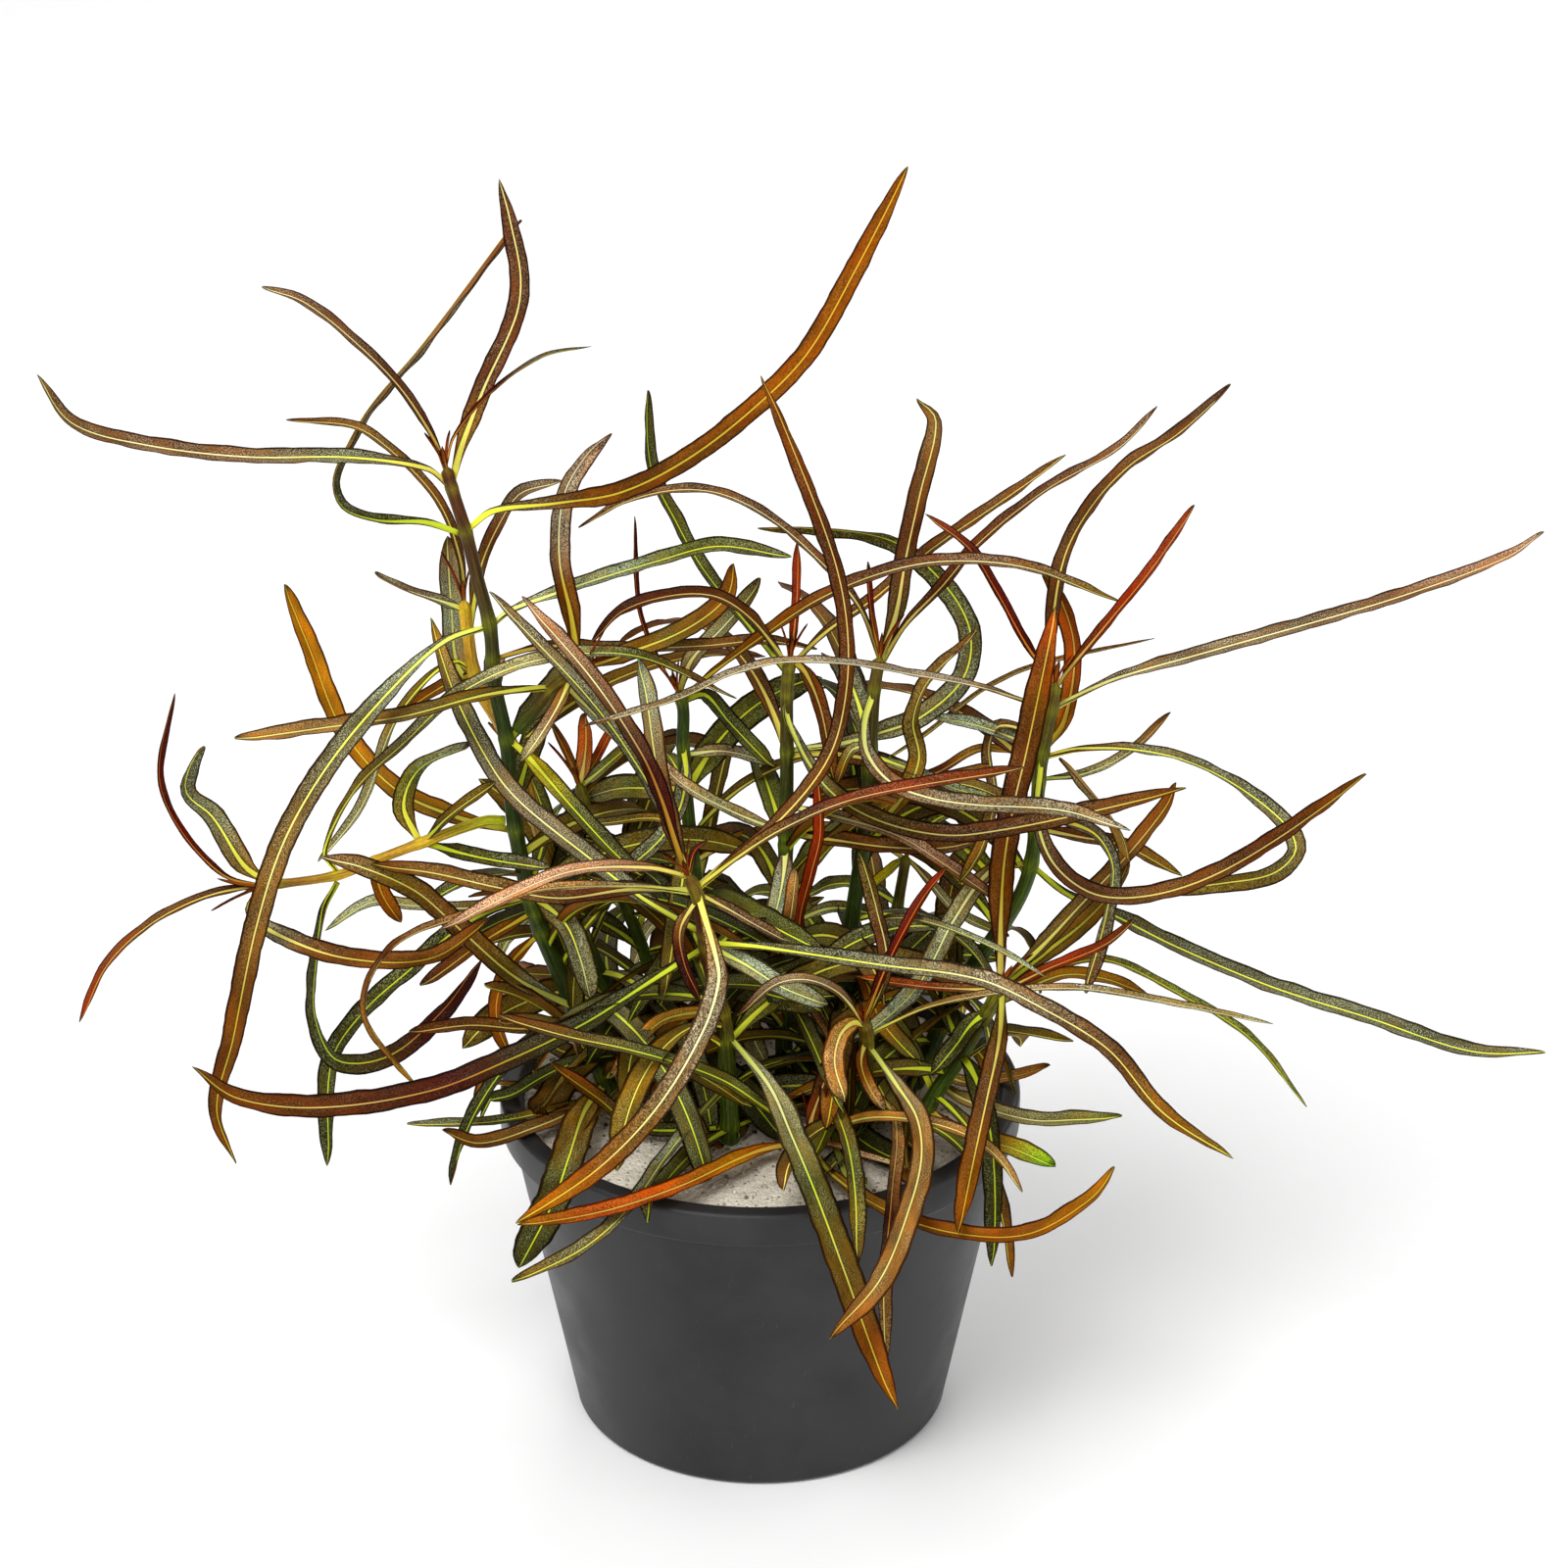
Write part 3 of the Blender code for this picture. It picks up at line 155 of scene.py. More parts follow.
# Colours as they look under white light, 0 to 255: blade, midrib, and how grainy the blade is, which also
# sets how strong its painted glints are
TONES = {
    "grey_green": ((105, 106, 76), (240, 244, 88), 1.0),
    "green_dark": ((75, 76, 27), (202, 220, 56), 0.9),
    "green_deep": ((51, 53, 19), (163, 180, 43), 0.6),
    "green": ((109, 115, 44), (244, 248, 66), 0.6),
    "green_bright": ((97, 170, 14), (172, 220, 40), 0.5),
    "grey": ((158, 170, 138), (240, 244, 134), 1.0),
    "grey_red": ((86, 52, 29), (218, 205, 124), 0.6),
    "grey_rust": ((125, 93, 40), (228, 217, 128), 0.65),
    "grey_orange": ((142, 105, 53), (232, 224, 126), 0.6),
    "olive": ((100, 81, 19), (202, 196, 79), 0.5),
    "bronze": ((104, 66, 26), (231, 207, 101), 0.5),
    "red_brown": ((84, 42, 8), (204, 176, 96), 0.45),
    "pink_brown": ((120, 87, 58), (248, 240, 169), 0.8),
    "pink_grey": ((131, 114, 85), (246, 238, 169), 1.0),
    "pink": ((183, 138, 104), (242, 217, 162), 0.9),
    "pink_orange": ((200, 145, 76), (240, 215, 128), 0.9),
    "white_pink": ((156, 141, 115), (240, 238, 191), 0.9),
    "pale": ((157, 151, 99), (246, 246, 175), 0.9),
    "ochre": ((146, 106, 18), (223, 214, 81), 0.35),
    "amber": ((168, 109, 9), (222, 184, 54), 0.2),
    "orange": ((136, 75, 3), (206, 158, 43), 0.25),
    "orange_red": ((184, 86, 20), (246, 198, 91), 0.4),
    "rust": ((104, 59, 4), (180, 154, 41), 0.25),
    "rose": ((127, 54, 24), (220, 161, 91), 0.5),
    "red": ((135, 42, 6), (220, 137, 58), 0.25),
    "red_dark": ((84, 11, 2), (213, 117, 41), 0.3),
    "dark_red": ((53, 11, 3), (161, 98, 37), 0.35),
    "yellow": ((232, 216, 24), (244, 244, 74), 0.4),
    "yellow_orange": ((190, 141, 44), (238, 228, 96), 0.4),
}

# The tones of stems
STEM_TONES = {"dark": (44, 58, 18), "green": (68, 86, 24), "olive": (84, 66, 20), "lime": (168, 180, 30),
              "straw": (188, 144, 40), "red": (74, 32, 12)}

# What the tones of a blade are multiplied by, or get added: where it turns warm, in dark grain, in light
# grain (painted glints that stand in for sheen), on a vein and at the margin
WARM_TINT = (1.22, 0.9, 0.5, 1)
DARK_GRAIN_TINT = (0.2, 0.17, 0.12, 1)
PAINTED_GLINT_ADDED = (0.24, 0.23, 0.16, 1)
VEIN_ADDED = (0.06, 0.06, 0.02, 1)
MARGIN_TINT = (0.14, 0.08, 0.05, 1)

# Leaves inside the tangle, in pairs up each standing stem: closer together low down, and lighter low down as
# painted light in the shade of the tangle. Lengths are in millimetres and angles in degrees, apart from the
# turn of a new try, which is in radians.
INNER_STEP = (3.6, 10.0)
INNER_STEP_SPREAD = (0.85, 1.15)
INNER_LEVELS = (70.0, 95.0)
INNER_COLUMNS = (-1.0, -0.7, -0.2, 0.0, 0.2, 0.7, 1.0)
INNER_LEAF_STEP = 1.2
INNER_START = 10.0
INNER_TOP = 118.0
INNER_END = 14.0
INNER_REACH = 47.0
INNER_LENGTH = (24.0, 46.0)
INNER_WIDTH = (2.6, 4.8)
INNER_PITCH = (15, 70)
INNER_SINKING = (-120, -40)
INNER_SWING = 55
INNER_ROLL = 40
INNER_TWIST = 50
INNER_TRIES = 6
INNER_TURN = 0.35
# Painted light: the tones of inner leaves are made lighter low down, by these factors over these levels
INNER_PAINTED_LIGHT_LEVELS = (50.0, 92.0)
INNER_PAINTED_LIGHT = (1.5, 1.08)
LOW_TONES = ("green_dark", "green", "green_deep", "green_dark olive", "green green_dark",
             "olive", "grey_green green_dark", "green_dark rust", "green bronze")
HIGH_TONES = ("olive rust", "bronze", "green_dark olive", "grey_green", "rust orange", "pink_grey",
              "green_dark", "red_brown")

# An inner leaf is left out if too much of it would show in front of the named leaves. Above the open
# level, what stands alone counts too, with a weight.
SHOWN_LIMIT = 0.12
OPEN_LEVEL = 74.0
ALONE_WEIGHT = 0.4
VIEW_CELL = 10

# The level over which inner leaves stay, by the distance from the pot's middle
CLEAR_DISTANCES = (0, 30, 33, 39, 60)
CLEAR_LEVELS = (50.0, 50.0, 51.3, 51.3, -10.0)
CLEAR_SOFTNESS = 1.5

# Painted light: leaves low in the middle are made lighter by this share, less with height and with reach, in
# the shade of the tangle
PAINTED_LOW_LIGHT = 0.3
PAINTED_LOW_LIGHT_LEVELS = (50.0, 92.0)
PAINTED_LOW_LIGHT_REACH = (28.0, 48.0)

# Numbers from which random draws start. Long leaves count up from 1.
SHORT_LEAF_SEED = 100
SHORT_LEAF_SEED_STEP = 20
INNER_STEM_SEED = 400
INNER_SEED = 3000
INNER_SEED_STEP = 1000
TUFT_SEED = 900
TUFT_LEAF_SEED = 700
SAND_SEED = 41

# The fine pot, in millimetres. Its profile ends at a small radius round the axis.
AXIS_RADIUS = 0.4
POT_SIDES = 160
POT_OUTER_RINGS = 30
POT_OUTER_SHARES = (0.03, 0.985)
POT_INNER_RINGS = 24
POT_FOOT_ROUND = 1.0
POT_CORNER_ROUND = 0.5
POT_RIM_ROUNDS = (0.6, 0.7)
POT_FLOOR_SLOPE = 1.0
BEFORE_FOOT = 0.4
BEHIND_RIM = 0.5
POT_TONES = ((0.010, 0.010, 0.011, 1), (0.022, 0.021, 0.021, 1))
POT_SCUFF_TONE = (0.07, 0.07, 0.068, 1)

# The fine sand, in millimetres: its rings, and its gaps to the pot at the top, at the foot and below
SAND_TONE = (234, 227, 210)
SAND_SIDES = 300
SAND_RING_STEP = 0.4
SAND_LAST_RADIUS = 0.3
SAND_ROUGHNESS = 0.07
SAND_DENTS = 0.28
SAND_GAP = 0.05
SAND_FOOT_GAP = 0.4
SAND_FLOOR_GAP = 0.3
SAND_CHAMFER = 1.0
SAND_WALL_SHARES = (0.25, 0.5, 0.75, 0.99)
SPECK_TONE = (0.16, 0.13, 0.10, 1)

# Loose grains on the sand, in millimetres, and the chance of each of their tones
GRAIN_COUNT = 900
GRAIN_SIZES = (0.16, 0.42)
GRAIN_UNEVENNESS = (0.75, 1.15)
GRAIN_STRETCH = (0.7, 1.1)
GRAIN_LIFT = 0.25
GRAIN_WALL_GAP = 0.9
GRAIN_PATTERN = 0.4
GRAIN_TONES = ((214, 206, 190), (190, 184, 172), (236, 230, 218), (120, 106, 88), (64, 54, 44))
GRAIN_CHANCES = (0.4, 0.2, 0.2, 0.1, 0.1)

# A regular stone of twenty sides: the golden ratio, and a distance that only neighbouring corners are within
GOLDEN = 1.618034
NEIGHBOUR_LIMIT = 1.1

# The stage, in metres: each light's place, size and power, and what all of them are aimed at
FLOOR_REACH = 6.0
FLOOR_DROP = 0.05 * MM
FLOOR_GREYS = (0.93, 0.95)
FLOOR_ROUGHNESS = 0.9
SKY_STRENGTH = 0.5
LIGHT_TARGET = (0, 0, 0.08)
LIGHTS = {"key": ((-0.5, -0.7, 1.2), 0.8, 16.5), "fill": ((0.45, -1.0, 0.35), 0.7, 4.0),
          "back": ((0.2, 0.9, 0.9), 0.8, 4.5)}

Stem = namedtuple("Stem", "name foot_radius tip_radius parent tones route")
Leaf = namedtuple("Leaf", "stem name width turn depth tones route")

# The stems: name, radius of the foot and of the tip, the stem that it grows on, tones, then the route from
# foot to tip by column, row and depth. A stem that grows on none stands in the sand.
STEMS = [
    ("stem_tall", 1.3, 0.8, None, "dark dark dark red", (628, 1132, -1), (606, 1075, 1), (581, 1016, 2),
     (545, 930, 3), (525, 840, 4), (517, 757, 5), (505, 700, 5), (500, 640, 6), (487, 590, 7), (475, 542, 8),
     (461, 498, 9), (455, 476, 9)),
    ("stem_left_shoot", 0.8, 0.6, "stem_tall", "lime straw straw red", (514, 838, 3), (494, 838, 2),
     (433, 859, 0), (383, 878, -1), (345, 893, -2), (270, 904, -4)),
    ("stem_upper_branch", 0.9, 0.7, "stem_tall", "green olive red", (528, 745, 4), (545, 725, 4),
     (563, 702, 3), (590, 682, 2)),
    ("stem_behind_tall", 1.2, 0.8, None, "green green straw straw", (655, 1112, 6), (615, 1000, 8),
     (570, 900, 10), (545, 830, 12), (530, 775, 13), (508, 735, 14), (490, 705, 14), (482, 678, 14),
     (478, 650, 14), (473, 612, 15)),
    ("stem_young_red", 1.1, 0.7, None, "green green olive", (690, 1100, 10), (660, 980, 12), (615, 870, 13),
     (590, 798, 14)),
    ("stem_back_left", 1.2, 0.8, None, "green green dark", (722, 1090, 13), (718, 960, 13), (705, 860, 12),
     (697, 760, 12), (697, 722, 12), (691, 704, 12)),
    ("stem_front", 1.4, 0.8, None, "green green red red", (745, 1168, -12), (743, 1110, -13),
     (738, 1040, -15), (722, 975, -18), (712, 915, -20), (702, 893, -21)),
    ("stem_middle", 1.3, 0.8, None, "green green dark olive", (800, 1100, 9), (800, 950, 8), (802, 850, 6),
     (803, 770, 5), (803, 708, 5), (806, 670, 5)),
    ("stem_middle_right", 1.3, 0.8, None, "green dark dark olive", (852, 1110, 6), (868, 950, 4),
     (882, 850, 2), (887, 790, 2), (892, 705, 2), (898, 670, 2)),
    ("stem_back_right", 1.1, 0.7, None, "green green olive", (890, 1092, 12), (905, 990, 11),
     (925, 872, 12)),
    ("stem_right", 1.3, 0.8, None, "dark dark green olive", (932, 1112, 6), (985, 1000, 5), (1035, 925, 5),
     (1052, 882, 5), (1060, 800, 6), (1064, 768, 6), (1074, 722, 6), (1077, 697, 6)),
    ("stem_right_low", 1.3, 0.9, None, "green green olive", (940, 1145, -5), (985, 1070, -6),
     (1012, 1025, -8), (1023, 1002, -8)),
    ("stem_front_right", 1.2, 0.9, None, "green green red", (884, 1150, -6), (884, 1100, -11),
     (884, 1055, -15), (881, 1041, -16)),
    ("stem_front_low", 1.3, 1.0, None, "green green", (822, 1176, -15), (824, 1163, -16), (826, 1152, -16)),
]

# The long leaves, pieces of their own: stem, name, width, turns in degrees, depths, tones, then the route
# of the midrib from base to tip. Turns, depths and tones are spread evenly along the leaf.
LONG_LEAVES = [
    ("stem_tall", "leaf_far_left", 2.6, (45, 35, 40), (6, 2, -4),
     "red_brown grey_green pink_brown pink_brown grey_orange", (461, 498), (437, 478), (360, 465),
     (250, 464), (150, 452), (75, 430), (39, 382)),
    ("stem_behind_tall", "leaf_arch_left", 1.9, (45, 45), (17, 19, 19),
     "red_brown bronze grey_rust red_brown", (475, 620), (470, 567), (450, 513), (410, 467), (363, 434),
     (292, 428)),
    ("stem_tall", "leaf_tall_upright", 2.9, (25, 15), (12, 16, 18), "ochre grey_red grey_red grey_red",
     (461, 495), (470, 457), (492, 397), (525, 323), (530, 283), (520, 228), (509, 183)),
    ("stem_tall", "leaf_bent_green", 3.0, (30, 78, 84, 86), (14, 24, 30, 32),
     "green_deep green_dark grey_green bronze", (467, 543), (433, 532), (385, 528), (352, 515), (345, 490),
     (360, 455), (383, 417), (437, 353), (533, 225)),
    ("stem_tall", "leaf_high_right", 3.0, (35, 15, 15), (1, -2, -2, -1),
     "grey_green rust rust orange orange orange", (477, 540), (503, 521), (567, 512), (633, 501), (700, 468),
     (767, 417), (823, 360), (873, 273), (926, 170)),
    ("stem_upper_branch", "leaf_branch_up", 3.0, (30, 20, 50), (6, 10), "rust rust white_pink pink",
     (590, 680), (584, 630), (572, 570), (577, 507), (600, 467), (625, 443)),
    ("stem_tall", "leaf_tall_green_right", 2.8, (60, 50, 45, 40, 20), (9, 15, 18),
     "pale grey green grey_green", (503, 635), (520, 622), (590, 595), (667, 571), (733, 555), (808, 568)),
    ("stem_tall", "leaf_long_left_arch", 3.4, (60, 20, 15, 40), (-7, -12, -13, -11),
     "grey grey_green grey_rust rust rust", (497, 638), (450, 655), (394, 706), (333, 781), (289, 858),
     (261, 944), (236, 1061), (219, 1133), (240, 1188)),
    ("stem_upper_branch", "leaf_branch_left", 3.0, (55, 40), (-4, -1, 4),
     "olive olive grey_orange grey_orange", (562, 700), (494, 707), (411, 728), (328, 740), (239, 753)),
    ("stem_tall", "leaf_back_orange", 3.2, (20, 30), (12, 20, 22), "rust ochre amber amber amber",
     (525, 848), (467, 833), (403, 803), (350, 742), (317, 660), (291, 596)),
    ("stem_behind_tall", "leaf_pale_left", 2.2, (60, 45), (8, 6, 4), "green olive pale pale", (480, 682),
     (465, 674), (437, 690), (400, 737), (368, 820), (324, 879)),
    ("stem_left_shoot", "leaf_wide_arch", 2.4, (70, 40, 60), (-2, 1, 1, 1.5, 2),
     "green olive grey_green pale green_dark grey_red", (345, 893), (330, 870), (360, 805), (411, 756),
     (467, 706), (550, 671), (650, 667), (752, 712)),
    ("stem_left_shoot", "leaf_shoot_loop", 3.2, (45, 30, 42, 50), (-12, -18, -16), "grey bronze rust rust",
     (268, 904), (255, 930), (290, 955), (356, 976), (439, 975), (498, 936)),
    ("stem_left_shoot", "leaf_shoot_hook", 3.0, (70, 66, 58, 8, 30, 50), (0, 2, 1, -2),
     "green_deep green_deep green_deep dark_red dark_red", (342, 900), (328, 928), (319, 983), (318, 1039),
     (342, 1083), (397, 1078), (453, 1033), (492, 981)),
    ("stem_tall", "leaf_left_brown", 3.4, (25, 25), (-8, -13, -14), "grey olive bronze olive pink_brown",
     (590, 1030), (528, 997), (467, 944), (425, 908), (369, 883), (328, 874)),
    ("stem_front", "leaf_left_orange", 3.0, (45, 35), (-18, -16.5, -13),
     "grey_orange red_brown grey_rust rust", (708, 908), (640, 906), (570, 914), (508, 903), (440, 888),
     (378, 881)),
    ("stem_front", "leaf_left_hook", 2.0, (65, 50, 58, 70, 60), (-23, -22, -20),
     "grey pink_orange red_brown ochre", (706, 910), (650, 903), (550, 906), (497, 925), (411, 956),
     (376, 997), (372, 1042), (427, 1113)),
    ("stem_front", "leaf_low_left", 3.8, (45, 30, 30), (-22, -25, -28, -30),
     "green_dark green_deep dark_red red_brown rust", (716, 968), (655, 1005), (594, 1043), (522, 1078),
     (439, 1111), (328, 1128), (244, 1119), (197, 1088)),
    ("stem_front", "leaf_up_left", 3.3, (40, 25, 30), (-10, -3, 7, 12),
     "grey_green grey_green pink_grey grey_green yellow_orange", (716, 952), (655, 914), (600, 872),
     (535, 820), (506, 786), (467, 711), (440, 630)),
    ("stem_front", "leaf_up_pink", 2.9, (40, 35), (-18, -13, -9), "dark_red dark_red pink_brown pink",
     (698, 889), (690, 860), (675, 810), (655, 765), (605, 690), (533, 608)),
    ("stem_tall", "leaf_tall_down", 3.0, (35, 35), (-3, -8), "yellow green_dark green_dark", (520, 755),
     (541, 773), (587, 824), (625, 865), (655, 893)),
    ("stem_front", "leaf_middle_tall", 2.5, (40, 30, 30), (-15, -8, -6, -6),
     "red_brown bronze red_brown red_brown orange", (710, 905), (740, 880), (800, 830), (845, 770),
     (862, 703), (862, 633), (847, 563), (797, 433), (776, 384)),
    ("stem_front", "leaf_front_red", 2.5, (55, 45), (-26, -24, -20), "ochre grey_red rose red_brown",
     (710, 907), (760, 867), (800, 842), (860, 816), (930, 800), (1046, 782)),
    ("stem_front", "leaf_low_right", 3.0, (50, 35, 25), (-25, -30, -32, -32),
     "grey_green grey_green pink_grey bronze ochre", (717, 962), (780, 965), (900, 982), (1000, 997),
     (1067, 1028), (1133, 1070), (1187, 1133), (1259, 1182)),
    ("stem_front", "leaf_front_down", 3.4, (35, 15, 20), (-27, -34, -42, -46),
     "yellow_orange pink_grey pink_grey grey_rust orange amber", (711, 908), (729, 976), (732, 1001),
     (716, 1052), (670, 1129), (609, 1192), (526, 1248)),
    ("stem_front_low", "leaf_low_orange", 2.8, (40, 40), (-28, -40, -44),
     "orange_red amber orange_red orange_red amber", (822, 1165), (770, 1174), (693, 1208), (617, 1233),
     (528, 1249)),
    ("stem_front", "leaf_low_grey", 2.8, (60, 40), (-27, -44, -50), "grey grey_green olive", (741, 1108),
     (714, 1134), (676, 1180), (642, 1228), (594, 1271), (522, 1307)),
    ("stem_tall", "leaf_broad_dark", 5.2, (25, 20), (-19, -34, -46), "yellow_orange green_dark green_deep",
     (618, 1104), (596, 1132), (579, 1180), (563, 1226), (529, 1292)),
    ("stem_front", "leaf_hanging_front", 4.4, (50, 20, 20), (-26, -42, -56, -68),
     "grey pale green_dark olive rust orange", (745, 1058), (787, 1108), (810, 1159), (833, 1215),
     (863, 1297), (900, 1400), (916, 1437)),
    ("stem_front_right", "leaf_hanging_curl", 3.5, (50, 20, 25), (-28, -42, -58, -66),
     "grey grey_orange grey_orange grey_orange orange", (886, 1066), (914, 1103), (937, 1139), (942, 1180),
     (930, 1231), (899, 1307), (847, 1366)),
    ("stem_front_low", "leaf_low_sweep", 2.9, (50, 40), (-37, -43, -43, -35),
     "yellow_orange rust orange amber", (826, 1166), (850, 1197), (917, 1238), (985, 1257), (1050, 1256),
     (1110, 1222), (1137, 1190)),
    ("stem_right_low", "leaf_right_down", 3.6, (40, 30), (-22, -34, -45), "olive bronze bronze rust orange",
     (1023, 1010), (1018, 1060), (1005, 1120), (992, 1180), (980, 1240), (977, 1258)),
    ("stem_right", "leaf_grey_twisted", 3.2, (45, 20, 60), (-1, -8, -14), "rust pale grey grey", (1048, 881),
     (1010, 888), (973, 937), (945, 990), (920, 1022), (866, 1064)),
    ("stem_right_low", "leaf_right_orange_up", 4.0, (30, 20), (-6, -3, 0),
     "red_brown rust red_brown rust orange_red", (1021, 1000), (1020, 940), (1023, 880), (1033, 820),
     (1045, 770), (1060, 700), (1077, 618)),
    ("stem_middle", "leaf_middle_sweep", 3.2, (50, 35, 35), (-2, -9, -12, -12),
     "grey olive grey_red bronze rust", (803, 708), (805, 735), (836, 791), (866, 819), (912, 840),
     (968, 850), (1019, 845), (1086, 832), (1210, 803)),
    ("stem_middle_right", "leaf_pink_sweep", 2.8, (20, 32, 35), (-8, -16, -18, -16),
     "grey pink_brown pink_grey pink_grey white_pink", (892, 705), (883, 735), (886, 768), (910, 797),
     (948, 812), (994, 819), (1086, 825), (1154, 847)),
    ("stem_right", "leaf_right_loop", 2.7, (66, 58, 60, 16, 22, 40), (2, -4, -7, -6),
     "bronze grey_green grey_green olive olive", (1065, 771), (1100, 763), (1153, 762), (1207, 772),
     (1260, 797), (1312, 840), (1323, 868), (1300, 892), (1247, 903), (1168, 913)),
    ("stem_right", "leaf_right_swoop", 3.0, (40, 35, 45), (-6, -11, -15, -18),
     "grey_green grey_red bronze red_brown rust", (1063, 772), (1060, 833), (1077, 880), (1117, 910),
     (1170, 912), (1233, 893), (1300, 855), (1393, 789)),
    ("stem_right", "leaf_long_right", 3.0, (45, 35), (2, -4, -8, -10),
     "green_dark grey_green grey_green grey_green", (1052, 881), (1087, 910), (1140, 933), (1200, 963),
     (1300, 1005), (1400, 1037), (1500, 1070), (1577, 1073)),
    ("stem_right", "leaf_far_right", 2.5, (60, 36, 40, 45), (9, 11, 12),
     "pink_grey pink_grey pink_brown pink", (1075, 722), (1093, 712), (1140, 690), (1233, 663), (1333, 635),
     (1433, 605), (1533, 568), (1575, 542)),
    ("stem_right", "leaf_right_tall", 2.9, (30, 50, 60), (10, 18, 24), "red_brown bronze bronze grey_red",
     (1076, 700), (1072, 650), (1083, 570), (1110, 517), (1150, 473), (1200, 440), (1255, 391)),
    ("stem_right", "leaf_white_arch", 2.0, (60, 60), (-5, -16, -18, -19),
     "red_brown white_pink white_pink pink_grey pink_grey", (1073, 724), (1000, 699), (933, 686), (867, 675),
     (800, 673), (747, 685), (693, 710), (595, 740)),
    ("stem_back_left", "leaf_long_bow", 2.5, (50, 45, 56), (2, 0, 2, 6),
     "rust rust grey_red pink_brown olive", (695, 712), (733, 680), (777, 647), (833, 610), (900, 582),
     (967, 570), (1050, 577), (1143, 613)),
    ("stem_middle", "leaf_hoop_green", 3.3, (50, 30, 12, 22, 62, 60), (7, 15, 23, 28),
     "pale grey_green green_dark olive", (803, 766), (860, 757), (895, 747), (940, 730), (983, 690),
     (988, 640), (953, 587), (900, 552), (773, 540)),
]

